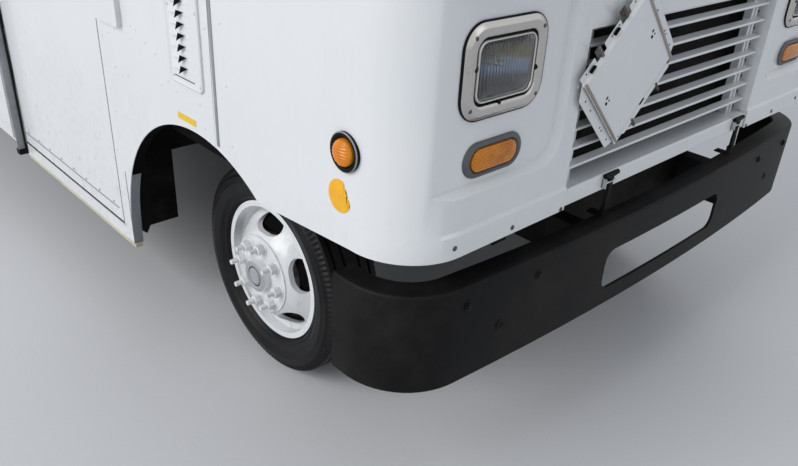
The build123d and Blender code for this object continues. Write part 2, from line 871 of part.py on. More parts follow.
def front_wheel():
    """Street-side front wheel about its own centre: rim, hub, brake drum and nuts."""
    wheel = rim(1)
    wheel += disc_x((-86, dish_depth + 30), 0, 0, hub_radius)
    wheel += disc_x((-86, 0), 0, 0, drum_radius)
    for piece in nuts(dish_depth):
        wheel += piece
    return wheel - disc_x((-100, 70), 0, 0, spindle_radius + spindle_fit)


def twin_wheel():
    """Street-side pair of rear wheels about their middle plane."""
    pair = Pos(-dish_depth, 0, 0) * rim(1)
    pair += Pos(dish_depth, 0, 0) * rim(-1)
    pair += disc_x((-240, 130), 0, 0, hub_radius + 20)
    pair += disc_x((-240, -60), 0, 0, drum_radius + 15)
    for piece in nuts(dish_metal):
        pair += piece
    return pair - disc_x((-260, 70), 0, 0, spindle_radius + spindle_fit)


def tyre():
    """Tyre about its own centre, its beads on the rim seats."""
    half = tyre_width / 2
    tread = tread_width / 2
    side_r = 326
    bead_x = rim_half_width - flange_lip - 0.5
    right = [
        Line((bead_x, bead_radius), (bead_x, flange_radius + 4)),
        ThreePointArc((bead_x, flange_radius + 4), (half, side_r), (tread + 6, tyre_radius - 24)),
        ThreePointArc((tread + 6, tyre_radius - 24), (tread, tyre_radius - 12), (tread - 12, tyre_radius - 5)),
    ]
    crown = ThreePointArc((tread - 12, tyre_radius - 5), (0, tyre_radius), (-tread + 12, tyre_radius - 5))
    left = [mirror(edge, about=Plane.YZ) for edge in right]
    base = Line((-bead_x, bead_radius), (bead_x, bead_radius))
    return revolve(make_face(right + [crown] + left + [base]), axis=Axis.X)


def fuel_tank():
    tank = block((rail_outer + 25, tank_outer), (tank_front, tank_rear), (tank_bottom, tank_top))
    tank = fillet(tank.edges().filter_by(Axis.Y), 60)
    for y in (tank_front + 160, tank_rear - 160):
        tank += block((rail_outer, rail_outer + 60), (y - 30, y + 30), (tank_bottom + 70, tank_top - 50))
    return tank


def exhaust():
    """Pipe and silencer along the kerb-side rail."""
    x = exhaust_x
    z = exhaust_z
    tail_front = wheelbase + 950
    bends = ((x, exhaust_front, z), (x, tail_front, z), (x, tail_front + 350, tail_z),
             (x, body_rear + 90, tail_z))
    line = Pos(x, silencer_y, z) * Rot(90, 0, 0) * Cylinder(90, 750)
    for start, end in zip(bends, bends[1:]):
        line += rod(start, end, pipe_radius)
    for bend in bends[1:-1]:
        line += Pos(*bend) * Sphere(pipe_radius)
    for y in (exhaust_front + 400, silencer_y + 800, tail_front - 250):
        line += block((x, -rail_outer), (y - 15, y + 15), (z + 10, z + 60))
    return line


# Bumpers

def bumper_plan(inset):
    """Plan of the front bumper: bowed face, round corners, short straight ends."""
    half = bumper_half - inset
    front = -front_overhang + inset
    tail = bumper_end + 25
    bow = ThreePointArc((-half, front + bumper_bow), (0, front), (half, front + bumper_bow))
    sides = Polyline((half, front + bumper_bow), (half, tail), (-half, tail), (-half, front + bumper_bow))
    outline = make_face([bow, sides])
    return fillet(outline.vertices().sort_by(Axis.Y)[:2], bumper_corner - inset)


def front_bumper():
    outer = extrude(Plane.XY.offset(bumper_bottom) * bumper_plan(0), bumper_top - bumper_bottom)
    outer = fillet(outer.faces().sort_by(Axis.Z)[-1].edges(), bumper_edge)
    inner = extrude(Plane.XY.offset(bumper_bottom - 1) * bumper_plan(bumper_plate),
                    bumper_top - bumper_bottom + 1 - bumper_plate)
    throat = extrude(Plane.XY.offset(bumper_bottom - 1) * bumper_plan(bumper_return), 400)
    bumper = outer - inner - throat - block((-1300, 1300), (bumper_end, -500), (400, 900))
    bumper -= panel_y((-bumper_slot_half, bumper_slot_half), (560, 700), (-1100, -900), 40)
    for side in (-1, 1):
        low, high = sorted((side * (rail_outer - 60), side * rail_outer))
        bumper += block((low, high), (-962, rail_front), (640, 780))
    return bumper


def rear_bumper():
    """Step bumper with its brackets to the rails."""
    back = wheelbase + rear_overhang
    bumper = block((-1150, 1150), (body_rear + 10, back), (440, 550))
    bumper = fillet(bumper.edges().filter_by(Axis.Z), 40)
    bumper -= block((-1120, 1120), (body_rear, back - 20), (430, 530))
    for side in (-1, 1):
        low, high = sorted((side * (rail_outer - 65), side * rail_outer))
        bumper += block((low, high), (rail_rear - 200, body_rear + 40), (500, 550))
        bumper += block((low, high), (rail_rear - 200, rail_rear - 40), (500, rail_top - rail_height))
    return bumper


# Grille, lamps and mirrors

def slat(z):
    """One blade: round lip in front, blade rising to the rear."""
    front = nose_face + slat_setback
    back = front + slat_depth
    t = slat_thickness
    points = ((front, z - slat_lip / 2), (front, z + slat_lip / 2), (front + t, z + slat_lip / 2),
              (back, z + slat_rise + t), (back, z + slat_rise), (front + t, z), (front + t, z - slat_lip / 2))
    half = grille_half - grille_gap
    return prism_x(points, (-half, half))


def grille():
    """Seven blades on two slotted posts over a bottom rail, with a head bar."""
    half = grille_half - grille_gap
    front = nose_face
    back = nose_face + slat_setback + slat_depth
    parts = block((-half, half), (front, front + 90), (nose_bottom + 3, grille_bottom))
    for side in (-1, 1):
        middle = side * post_offset
        post = block((middle - post_width / 2, middle + post_width / 2), (back - 8, back + 10),
                     (grille_bottom - 4, grille_top - 6))
        parts += post - block((middle - 5, middle + 5), (back - 12, back + 20), (grille_bottom + 20, grille_top - 30))
    parts += block((-half, half), (back - 8, back + 10), (grille_top - 20, grille_top - fit))
    for number in range(slat_count):
        parts += slat(slat_first + number * slat_pitch)
    for x in latch_places:
        strap = (front - latch_proud, front + 1)
        parts += block((x - latch_width / 2, x + latch_width / 2), strap, (latch_bottom, latch_top))
        parts += disc_x((x - 32, x + 32), front - latch_proud + 7, latch_top, 9)
    return parts


def placard_holder():
    """Blank diamond plate with two edge channels, on standoffs in front of the blades."""
    face_y = nose_face - placard_standoff
    half = placard_side / 2
    plate = block((-half, half), (face_y, face_y + placard_plate), (-half, half))
    for side in (-1, 1):
        low, high = sorted((side * (half - 30), side * half))
        plate += block((low, high), (face_y - 7, face_y - 4), (-half, half))
        low, high = sorted((side * (half - 3), side * half))
        plate += block((low, high), (face_y - 7, face_y + placard_plate), (-half, half))
    turned = Pos(placard_x, 0, placard_z) * Rot(0, -45, 0) * plate
    reach = nose_face + slat_setback
    for dx, dz in ((0, -110), (0, 86)):
        x = placard_x + dx
        z = placard_z + dz
        turned += block((x - 12, x + 12), (face_y + placard_plate - 1, reach - fit), (z - 40, z + 40))
    return turned


def headlamp():
    """Kerb-side lamp: raised bezel with a lamp bowl behind it."""
    face = nose_face + recess_depth
    x = (-lamp_x - bezel_width / 2, -lamp_x + bezel_width / 2)
    z = (lamp_z - bezel_height / 2, lamp_z + bezel_height / 2)
    bezel = panel_y(x, z, (face - bezel_proud, face), bezel_corner)
    bezel = fillet(bezel.faces().sort_by(Axis.Y)[0].edges(), 9)
    gap = 6
    opening = panel_y((-lamp_x - glass_width / 2 - gap, -lamp_x + glass_width / 2 + gap),
                      (lamp_z - glass_height / 2 - gap, lamp_z + glass_height / 2 + gap),
                      (face - 40, face - lamp_back), glass_corner + gap)
    bowl = panel_y((-lamp_x - 93, -lamp_x + 93), (lamp_z - 65, lamp_z + 65), (face - 1, face + 60), 20)
    hollow = panel_y((-lamp_x - 87, -lamp_x + 87), (lamp_z - 59, lamp_z + 59), (face - 10, face + 52), 16)
    return bezel - opening + bowl - hollow


def headlamp_lens():
    face = nose_face + recess_depth
    lens = panel_y((-lamp_x - glass_width / 2, -lamp_x + glass_width / 2),
                   (lamp_z - glass_height / 2, lamp_z + glass_height / 2),
                   (face - bezel_proud + 2, face - lamp_back - fit), glass_corner)
    return fillet(lens.faces().sort_by(Axis.Y)[0].edges(), 4)


def signal_lamps():
    """Turn signals on the nose and round side markers at its corners."""
    face = nose_face + recess_depth
    turn = extrude(Plane.XZ.offset(-face) * Pos(-turn_x, turn_z) * SlotOverall(turn_width, turn_height), 9)
    lens = Plane.XZ.offset(-face) * Pos(-turn_x, turn_z) * SlotOverall(turn_lens_width, turn_lens_height)
    turn += extrude(lens, 18)
    marker = disc_x((-cab_half - 10, -cab_half), marker_y, marker_z, marker_radius)
    marker += disc_x((-cab_half - 28, -cab_half), marker_y, marker_z, 33)
    return [turn, marker, mirrored(turn), mirrored(marker)]


def tail_lamps():
    lamps = []
    for x in (-1060, 1060):
        for z in (690, 800):
            lamps.append(panel_y((x - 70, x + 70), (z - 42, z + 42), (body_rear, body_rear + 20), 20))
    return lamps


def mirror_arm():
    """Kerb-side mirror on two arms from the windscreen pillar."""
    x = -body_half - 160
    y = cap_seam - 90
    head = panel_y((x - 75, x + 75), (1900, 2280), (y - 30, y + 30), 30)
    part = head
    for z in (1960, 2220):
        part += rod((-cab_half, y, z), (x, y, z), 12)
        part += disc_x((-cab_half - 8, -cab_half), y, z, 34)
    return part


# Inside

def dashboard():
    """Fire wall, dashboard and engine cover as one moulding, with the steering wheel."""
    half = cab_half - nose_wall - fit
    outline = ((-500, floor_top), (-470, floor_top), (-470, 1380), (-180, 1420), (-150, 1480),
               (-200, 1640), (-440, 1700), (-500, 1700))
    board = prism_x(outline, (-half, half))
    cover = block((-335, 335), (-470, 375), (floor_top, 1430))
    cover = fillet(cover.edges().filter_by(Axis.Y).group_by(Axis.Z)[-1], 80)
    cover -= block((-310, 310), (-520, 350), (floor_top - 1, 1340))
    board += cover
    tilt = Plane((seat_x, 60, 1620), x_dir=(1, 0, 0), z_dir=(0, 0.5, 0.866))
    board += tilt * Torus(215, 16)
    board += tilt * Pos(0, 0, -20) * Cylinder(55, 40)
    for turn in (0, 120, 240):
        board += tilt * Rot(0, 0, turn + 90) * Pos(110, 0, -10) * Box(200, 34, 14)
    board += rod((seat_x, 60, 1605), (seat_x, -200, 1460), 28)
    return board


def driver_seat():
    cushion = block((seat_x - 230, seat_x + 230), (420, 880), (floor_top + 380, floor_top + 500))
    back = block((seat_x - 220, seat_x + 220), (800, 900), (floor_top + 480, floor_top + 1080))
    seat = fillet(cushion.edges(), 25) + fillet(back.edges(), 25)
    return seat + block((seat_x - 150, seat_x + 150), (480, 780), (floor_top, floor_top + 385))


def kitchen_units():
    """Serving counter on the kerb side and cooking line on the street side."""
    half = body_half - body_wall
    counter = block((-half, -half + counter_depth), (kitchen_front, kitchen_rear), (floor_top, counter_top))
    counter -= block((-half + 40, -half + counter_depth + 1), (kitchen_front + 40, kitchen_rear - 40),
                     (floor_top + 120, counter_top - 260))
    line = block((half - 680, half), (kitchen_front, kitchen_rear), (floor_top, counter_top))
    line -= block((half - 690, half - 60), (kitchen_front + 60, kitchen_front + 900),
                  (counter_top - 60, counter_top + 1))
    line += block((half - 30, half), (kitchen_front, kitchen_rear), (counter_top - 1, counter_top + 240))
    return [counter, line]


def extraction_hood():
    """Canopy above the cooking line with its duct to the roof."""
    half = body_half - body_wall
    low = eaves_height - 550
    outline = ((half, low), (half - 720, low), (half - 720, low + 120), (half - 420, low + 420),
               (half, low + 420))
    hood = prism_y(outline, (kitchen_front, kitchen_rear))
    inner = ((half - 25, low - 1), (half - 695, low - 1), (half - 695, low + 105), (half - 410, low + 395),
             (half - 25, low + 395))
    hood -= prism_y(inner, (kitchen_front + 25, kitchen_rear - 25))
    return hood + block((vent_x - duct_half, vent_x + duct_half), (vent_y - duct_half, vent_y + duct_half),
                        (low + 419, roof_top - roof_wall))


def place_wheels():
    """Write the six tyres and their wheels, each on its side of the truck."""
    wheel = front_wheel()
    rear = twin_wheel()
    ring = tyre()
    front = Pos(front_wheel_x, 0, tyre_radius)
    back = Pos(twin_middle_x, wheelbase, tyre_radius)
    twin = [back * Pos(-dish_depth, 0, 0) * ring, back * Pos(dish_depth, 0, 0) * ring]
    save("wheel_front_left", front * wheel)
    save("wheel_front_right", mirrored(front * wheel))
    save("tyre_front_left", front * ring)
    save("tyre_front_right", mirrored(front * ring))
    save("wheel_rear_left", back * rear)
    save("wheel_rear_right", mirrored(back * rear))
    save("tyres_rear_left", *twin)
    save("tyres_rear_right", *[mirrored(piece) for piece in twin])


def main():
    os.makedirs("parts", exist_ok=True)
    save("front_cap", front_cap())
    save("hood_lid", hood_lid())
    save("grille", grille())
    save("placard_holder", placard_holder())
    save("windshield_frame", windshield_frame())
    save("cab_glass", *cab_glass())
    save_pair("cab_side", cab_side())
    save_pair("cab_door", cab_door())
    save_pair("door_glass", door_glass())
    side = body_side()
    save("body_side_left", mirrored(side))
    save("body_side_right", side - window_opening(0))
    save("serving_hatch", serving_hatch())
    save("serving_shelf", serving_shelf())
    save("roof", roof())
    save("roof_vent", roof_vent())
    save("rear_frame", rear_frame())
    save_pair("rear_door", rear_door())
    save("floor", floor())
    well = step_well()
    save("step_wells", well, mirrored(well))
    save("partition", partition())
    save("frame_rails", *frame_rails())
    save("cross_members", *cross_members())
    front_spring = leaf_spring(0, front_spring_half, spring_seat)
    rear_spring = leaf_spring(wheelbase, rear_spring_half, spring_seat)
    save("leaf_springs", front_spring, mirrored(front_spring), rear_spring, mirrored(rear_spring))
    save("front_axle", front_axle())
    save_pair("knuckle", knuckle())
    save("rear_axle", rear_axle())
    save("engine", engine())
    place_wheels()
    save("fuel_tank", fuel_tank())
    save("exhaust", exhaust())
    save("front_bumper", front_bumper())
    save("rear_bumper", rear_bumper())
    lamp = headlamp()
    save("headlamps", lamp, mirrored(lamp))
    lens = headlamp_lens()
    save("headlamp_glass", lens, mirrored(lens))
    save("signal_lamps", *signal_lamps())
    save("tail_lamps", *tail_lamps())
    arm = mirror_arm()
    save("mirrors", arm, mirrored(arm))
    save("dashboard", dashboard())
    save("driver_seat", driver_seat())
    save("kitchen_units", *kitchen_units())
    save("extraction_hood", extraction_hood())


main()
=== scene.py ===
import json
import math
import bmesh
import bpy
from mathutils import Matrix, Vector

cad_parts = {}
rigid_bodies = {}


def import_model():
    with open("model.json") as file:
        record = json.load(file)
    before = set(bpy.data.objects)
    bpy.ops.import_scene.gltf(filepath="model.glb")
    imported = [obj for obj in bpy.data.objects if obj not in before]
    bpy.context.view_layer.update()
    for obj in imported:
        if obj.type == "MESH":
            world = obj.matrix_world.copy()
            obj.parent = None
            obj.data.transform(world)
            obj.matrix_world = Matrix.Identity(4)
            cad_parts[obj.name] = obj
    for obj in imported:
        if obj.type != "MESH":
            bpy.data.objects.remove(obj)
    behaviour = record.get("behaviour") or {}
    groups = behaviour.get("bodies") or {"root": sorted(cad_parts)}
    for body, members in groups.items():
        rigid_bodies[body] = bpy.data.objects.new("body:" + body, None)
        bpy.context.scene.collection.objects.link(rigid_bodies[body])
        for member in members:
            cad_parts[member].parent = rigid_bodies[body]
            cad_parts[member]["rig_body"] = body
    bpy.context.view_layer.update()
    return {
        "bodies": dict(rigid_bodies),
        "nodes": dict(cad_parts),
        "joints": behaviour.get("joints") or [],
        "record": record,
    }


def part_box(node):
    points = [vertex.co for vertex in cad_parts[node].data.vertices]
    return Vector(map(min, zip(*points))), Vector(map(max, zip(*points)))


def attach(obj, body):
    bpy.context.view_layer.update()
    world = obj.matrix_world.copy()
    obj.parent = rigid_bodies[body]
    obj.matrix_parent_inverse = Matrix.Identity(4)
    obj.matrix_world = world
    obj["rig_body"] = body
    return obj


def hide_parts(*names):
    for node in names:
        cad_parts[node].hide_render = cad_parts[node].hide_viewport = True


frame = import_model()
print("frame loaded,", len(frame["nodes"]), "nodes")

joints = {joint["name"]: joint for joint in frame["joints"]}
axleY = joints["steer_right"]["pos_m"][1]      # front axle, lengthwise places below count from it
wheelZ = joints["front_wheel_right"]["pos_m"][2]
frontWheelX = -joints["front_wheel_right"]["pos_m"][0]
rearAxleY = joints["rear_wheel_right"]["pos_m"][1]


# One socket of a node tree, where sums and products of values add their own Math nodes
class Value:
    def __init__(self, finish, socket):
        self.finish = finish
        self.socket = socket

    def __add__(self, other):
        return self.finish.maths("ADD", self, other)

    def __radd__(self, other):
        return self.finish.maths("ADD", other, self)

    def __sub__(self, other):
        return self.finish.maths("SUBTRACT", self, other)

    def __rsub__(self, other):
        return self.finish.maths("SUBTRACT", other, self)

    def __mul__(self, other):
        return self.finish.maths("MULTIPLY", self, other)

    def __rmul__(self, other):
        return self.finish.maths("MULTIPLY", other, self)

    def __truediv__(self, other):
        return self.finish.maths("DIVIDE", self, other)


# A material with its shader, and short ways to the nodes that feed it
class Finish:
    def __init__(self, name, **constants):
        self.material = bpy.data.materials.new(name)
        self.material.use_nodes = True
        self.tree = self.material.node_tree
        self.tree.nodes.clear()
        end = self.tree.nodes.new("ShaderNodeOutputMaterial")
        self.shader = self.tree.nodes.new("ShaderNodeBsdfPrincipled")
        self.tree.links.new(self.shader.outputs[0], end.inputs["Surface"])
        for key, value in constants.items():
            self.shader.inputs[key.replace("_", " ")].default_value = value
        self.place = self.node("ShaderNodeTexCoord", output="Object")

    def node(self, kind, settings=None, inputs=None, output=0):
        made = self.tree.nodes.new(kind)
        for key, value in (settings or {}).items():
            if key == "stops":
                while len(made.color_ramp.elements) < len(value):
                    made.color_ramp.elements.new(0.5)
                for element, (position, colour) in zip(made.color_ramp.elements, value):
                    element.position = position
                    element.color = colour if len(colour) == 4 else (*colour, 1)
            else:
                setattr(made, key, value)
        for key, value in (inputs or {}).items():
            self.feed(made.inputs[key], value)
        return Value(self, made.outputs[output])

    def feed(self, socket, value):
        if isinstance(value, Value):
            self.tree.links.new(value.socket, socket)
        elif hasattr(value, "__len__") and len(value) == 3 and socket.type == "RGBA":
            socket.default_value = (*value, 1)
        else:
            socket.default_value = value

    def maths(self, operation, first, second=0.0):
        return self.node("ShaderNodeMath", {"operation": operation}, {0: first, 1: second})

    def axis(self, letter):
        return self.node("ShaderNodeSeparateXYZ", None, {0: self.place}, "XYZ".index(letter))

    def stretched(self, amounts):
        return self.node("ShaderNodeMapping", None, {"Vector": self.place, "Scale": amounts})

    def noise(self, scale, detail=3.0, grain=0.5, where=None):
        return self.node("ShaderNodeTexNoise", None, {"Vector": where or self.place, "Scale": scale,
                                                      "Detail": detail, "Roughness": grain})

    def step(self, value, low, high):
        return self.node("ShaderNodeMapRange", {"interpolation_type": "SMOOTHSTEP"},
                         {"Value": value, "From Min": low, "From Max": high})

    def blend(self, factor, first, second):
        return self.node("ShaderNodeMix", {"data_type": "RGBA"}, {0: factor, 6: first, 7: second}, 2)

    def bump(self, height, distance, strength=1.0, over=None):
        inputs = {"Height": height, "Distance": distance, "Strength": strength}
        if over:
            inputs["Normal"] = over
        return self.node("ShaderNodeBump", None, inputs)

    # Painted shade: ambient occlusion, darker in corners and creases
    def occlusionShade(self, reach):
        return self.node("ShaderNodeAmbientOcclusion", {"samples": 6}, {"Distance": reach}, "AO")

    def set(self, **changes):
        for key, value in changes.items():
            self.feed(self.shader.inputs[key.replace("_", " ")], value)
        return self


# Paints and plastics

# The dirt colour also carries the painted corner shade; corners sets how strong that painted shade is
paintLook = {"colour": (0.80, 0.81, 0.82), "chalk": (0.74, 0.76, 0.78), "grime": (0.40, 0.37, 0.32),
             "coat": 0.35, "peelDepth": 0.00006, "roadDirt": 0.55, "splashFoot": 0.3, "splashTop": 1.25,
             "runs": 0.10, "corners": 0.45}


def whitePaint(name, wave, roughness, dirtAndShadeAmount):
    finish = Finish(name, Coat_Weight=paintLook["coat"], Coat_Roughness=0.06)
    clouds = finish.noise(3.2, 4, 0.6)
    fine = finish.noise(42, 5, 0.65)
    low = 1 - finish.step(finish.axis("Z"), paintLook["splashFoot"], paintLook["splashTop"])
    splash = finish.step(finish.noise(26, 6, 0.72), 0.5, 0.74) * low * paintLook["roadDirt"]
    streaks = finish.noise(7, 4, 0.6, finish.stretched((9, 9, 0.5)))
    runs = finish.step(streaks, 0.55, 0.8) * paintLook["runs"]
    # Painted shade in corners and creases, from ambient occlusion broken up by noise, added to the real road
    # dirt and runs
    corners = (1 - finish.step(finish.occlusionShade(0.035), 0.35, 0.95)) * finish.step(fine, 0.3, 0.7)
    marks = splash + runs + corners * paintLook["corners"]
    grime = finish.node("ShaderNodeClamp", None, {"Value": marks * dirtAndShadeAmount})
    tone = finish.blend(finish.step(clouds, 0.35, 0.7) * 0.4, paintLook["colour"], paintLook["chalk"])
    colour = finish.blend(grime, tone, paintLook["grime"])
    rough = roughness + clouds * 0.08 + grime * 0.4 + finish.step(fine, 0.55, 0.8) * 0.04
    waves = finish.bump(finish.noise(2.1, 2, 0.4), wave)
    peel = finish.bump(finish.noise(310, 2, 0.5), paintLook["peelDepth"], over=waves)
    return finish.set(Base_Color=colour, Roughness=rough, Normal=peel)


def glassFinish(name, tint, roughness):
    finish = Finish(name, IOR=1.46, Transmission_Weight=1.0)
    smear = finish.step(finish.noise(5, 5, 0.7), 0.45, 0.75)
    return finish.set(Base_Color=finish.blend(smear * 0.2, tint, (0.6, 0.62, 0.6)),
                      Roughness=roughness + smear * 0.05)


def metalFinish(name, colour, roughness, spots=0.25, grain=(1, 1, 1)):
    finish = Finish(name, Metallic=1.0)
    lines = finish.noise(160, 3, 0.6, finish.stretched(grain))
    stain = finish.step(finish.noise(38, 6, 0.7), 0.58, 0.78) * spots
    return finish.set(Base_Color=finish.blend(stain, colour, (0.22, 0.19, 0.16)),
                      Roughness=roughness + lines * 0.16 + stain * 0.3, Normal=finish.bump(lines, 0.00004))


def blackFinish(name, colour, roughness, dust, depth=0.0003, shine=0.08):
    finish = Finish(name, Specular_IOR_Level=shine)
    grain = finish.noise(95, 6, 0.7)
    clouds = finish.noise(4, 5, 0.65)
    scuffs = finish.step(finish.noise(30, 5, 0.75, finish.stretched((0.4, 0.4, 5))), 0.6, 0.72) * 0.25
    dusty = finish.step(clouds, 0.42, 0.72) * dust
    colour = finish.blend(dusty + scuffs * dust, colour, (0.10, 0.085, 0.07))
    return finish.set(Base_Color=colour, Roughness=roughness + clouds * 0.12 + scuffs * 0.3 + dusty * 0.2,
                      Normal=finish.bump(grain, depth))


def lensFinish(name, colour, deep):
    finish = Finish(name, Coat_Weight=0.8, Coat_Roughness=0.05, Subsurface_Weight=0.15,
                    Subsurface_Radius=(0.01, 0.004, 0.001))
    depth = finish.step(finish.noise(70, 3, 0.5), 0.3, 0.75)
    return finish.set(Base_Color=finish.blend(depth, colour, deep), Roughness=0.16 + depth * 0.1)


# Clear lens with upright ribs, as on a sealed lamp
def ribbedGlass():
    finish = Finish("ribbedGlass", IOR=1.45, Transmission_Weight=1.0)
    ribs = finish.node("ShaderNodeTexWave", {"bands_direction": "X", "wave_profile": "SIN"},
                       {"Vector": finish.place, "Scale": 30, "Distortion": 0})
    bars = finish.node("ShaderNodeTexWave", {"bands_direction": "Z", "wave_profile": "SIN"},
                       {"Vector": finish.place, "Scale": 9, "Distortion": 0})
    haze = finish.step(finish.noise(16, 5, 0.7), 0.45, 0.8)
    return finish.set(Base_Color=finish.blend(haze * 0.4, (0.86, 0.87, 0.86), (0.62, 0.62, 0.58)),
                      Roughness=0.04 + haze * 0.08, Normal=finish.bump(ribs + bars * 0.35, 0.0004))


# Painted reflection in a lamp's bowl, from its foot up: floor, sky and the painted shade of its brow
bowlLook = {"foot": 1.279, "height": 0.140, "tarnish": (0.10, 0.10, 0.10), "tones": (
    (0.05, (0.03, 0.033, 0.036)), (0.26, (0.06, 0.07, 0.09)), (0.36, (0.22, 0.29, 0.44)),
    (0.52, (0.28, 0.36, 0.52)), (0.58, (0.22, 0.18, 0.09)), (0.72, (0.15, 0.13, 0.075)),
    (0.86, (0.05, 0.045, 0.04)))}


def lampBowl():
    finish = Finish("lampBowl", Metallic=0.75)
    wander = finish.noise(18, 4, 0.6) * 0.02
    share = (finish.axis("Z") + wander - bowlLook["foot"]) / bowlLook["height"]
    # Colour bands by height are painted reflection and painted shade; the tarnish below is real
    colour = finish.node("ShaderNodeValToRGB", {"stops": bowlLook["tones"]}, {"Fac": share})
    tarnish = finish.step(finish.noise(24, 5, 0.7), 0.4, 0.75)
    return finish.set(Base_Color=finish.blend(tarnish * 0.4, colour, bowlLook["tarnish"]),
                      Roughness=0.32 + tarnish * 0.2)


# Amber lens with a moulded grid, and a clear amber dome
def amberLens(name, colour, deep, grid):
    finish = Finish(name, Coat_Weight=0.35, Coat_Roughness=0.05, Specular_IOR_Level=0.25)
    depth = finish.step(finish.noise(30, 2, 0.4), 0.35, 0.7)
    cells = finish.node("ShaderNodeTexChecker", None, {"Vector": finish.stretched((1, 1, 1)), "Scale": 190}, 1)
    ribs = finish.node("ShaderNodeTexWave", {"bands_direction": "Z"}, {"Vector": finish.place, "Scale": 44}, 1)
    shade = cells * (0.28 * grid) + ribs * (0.30 * grid) + depth * 0.35
    return finish.set(Base_Color=finish.blend(shade, colour, deep), Roughness=0.14 + depth * 0.12,
                      Normal=finish.bump(cells + ribs, 0.0005 * grid))


def plainFinish(name, colour, second, roughness, scale, depth=0.0002, shine=0.5, clear=0.0):
    finish = Finish(name, Specular_IOR_Level=shine, Coat_Weight=clear)
    grain = finish.noise(scale, 5, 0.65)
    patch = finish.noise(scale / 11, 4, 0.6)
    mixed = finish.step(patch, 0.35, 0.75)
    return finish.set(Base_Color=finish.blend(mixed, colour, second), Roughness=roughness + grain * 0.15,
                      Normal=finish.bump(grain, depth))


def tyreFinish():
    finish = Finish("tyreRubber", Specular_IOR_Level=0.18)
    grain = finish.noise(420, 4, 0.6)
    clouds = finish.noise(8, 5, 0.7)
    dust = finish.step(clouds, 0.4, 0.75) * 0.35
    colour = finish.blend(dust, (0.0060, 0.0060, 0.0066), (0.026, 0.024, 0.022))
    return finish.set(Base_Color=colour, Roughness=0.36 + dust * 0.35 + grain * 0.1,
                      Normal=finish.bump(grain, 0.00025))


def checkerPlate():
    finish = Finish("checkerPlate", Metallic=1.0)
    bars = finish.node("ShaderNodeTexWave", {"bands_direction": "DIAGONAL"},
                       {"Vector": finish.place, "Scale": 14, "Distortion": 0})
    worn = finish.noise(5, 5, 0.7)
    colour = finish.blend(finish.step(worn, 0.35, 0.7), (0.52, 0.52, 0.52), (0.30, 0.29, 0.27))
    return finish.set(Base_Color=colour, Roughness=0.38 + worn * 0.25,
                      Normal=finish.bump(finish.step(bars, 0.72, 0.9), 0.0014))


# Each finish's name with the values of its maker, from the colour on
finishMakers = (
    (whitePaint, {"capWhite": (0.0008, 0.16, 0.5), "bodyWhite": (0.0022, 0.26, 0.8),
                  "wheelWhite": (0.0004, 0.2, 0.9), "placardWhite": (0.0006, 0.34, 0.9),
                  "studWhite": (0.0002, 0.3, 0.6)}),
    (glassFinish, {"windowGlass": ((0.72, 0.80, 0.78), 0.0), "lampGlass": ((0.95, 0.96, 0.93), 0.02)}),
    (metalFinish, {"chrome": ((0.56, 0.54, 0.52), 0.16, 0.6), "steel": ((0.55, 0.54, 0.52), 0.28),
                   "stainless": ((0.62, 0.62, 0.61), 0.22, 0.06, (0.3, 12, 12)),
                   "aluminium": ((0.60, 0.61, 0.62), 0.34, 0.12, (6, 6, 0.4)),
                   "darkScrew": ((0.10, 0.10, 0.11), 0.38), "mirrorGlass": ((0.86, 0.88, 0.88), 0.01, 0.1),
                   "griddleSteel": ((0.16, 0.155, 0.15), 0.35, 0.5)}),
    (lensFinish, {"amberLens": ((0.92, 0.36, 0.02), (0.62, 0.16, 0.01)),
                  "redLens": ((0.62, 0.02, 0.015), (0.30, 0.01, 0.01))}),
    (amberLens, {"amberGrid": ((0.86, 0.30, 0.004), (0.38, 0.085, 0.001), 1.0),
                 "amberClear": ((0.84, 0.27, 0.004), (0.40, 0.08, 0.001), 0.12)}),
    (blackFinish, {"blackSteel": ((0.0050, 0.0050, 0.0055), 0.42, 0.12, 0.0003, 0.12),
                   "chassisBlack": ((0.006, 0.006, 0.0055), 0.55, 0.25, 0.0006),
                   "engineGrey": ((0.07, 0.07, 0.072), 0.55, 0.5, 0.001),
                   "radiatorFins": ((0.004, 0.004, 0.004), 0.75, 0.12, 0.0008, 0.12)}),
    (plainFinish, {
        "reflector": ((0.96, 0.50, 0.015), (0.90, 0.40, 0.01), 0.35, 300, 0.0002, 0.3, 0.2),
        "rubber": ((0.0055, 0.0055, 0.006), (0.012, 0.0115, 0.011), 0.5, 180, 0.0002, 0.12),
        "greyRubber": ((0.11, 0.115, 0.125), (0.075, 0.078, 0.085), 0.5, 150),
        "greySeal": ((0.30, 0.31, 0.33), (0.22, 0.23, 0.25), 0.45, 120),
        "dashPlastic": ((0.055, 0.056, 0.06), (0.04, 0.04, 0.043), 0.5, 240, 0.0005),
        "seatVinyl": ((0.020, 0.020, 0.023), (0.032, 0.031, 0.032), 0.38, 420),
        "creamSill": ((0.62, 0.58, 0.44), (0.48, 0.44, 0.33), 0.5, 40),
        "hemTan": ((0.30, 0.26, 0.22), (0.42, 0.38, 0.34), 0.5, 60),
        "rustySteel": ((0.060, 0.035, 0.022), (0.16, 0.15, 0.15), 0.6, 90, 0.0004),
        "hubGrey": ((0.40, 0.41, 0.43), (0.30, 0.31, 0.33), 0.32, 90, 0.0003),
        "darkGap": ((0.003, 0.003, 0.0035), (0.006, 0.0055, 0.0055), 0.85, 60, 0.0002, 0.08),
        "labelYellow": ((0.90, 0.58, 0.02), (0.80, 0.47, 0.02), 0.35, 90)}))
finishes = {"ribbedGlass": ribbedGlass(), "lampBowl": lampBowl(), "tyre": tyreFinish(),
            "checkerPlate": checkerPlate()}
for make, rows in finishMakers:
    finishes.update({name: make(name, *values) for name, values in rows.items()})
print("finishes made,", len(finishes))

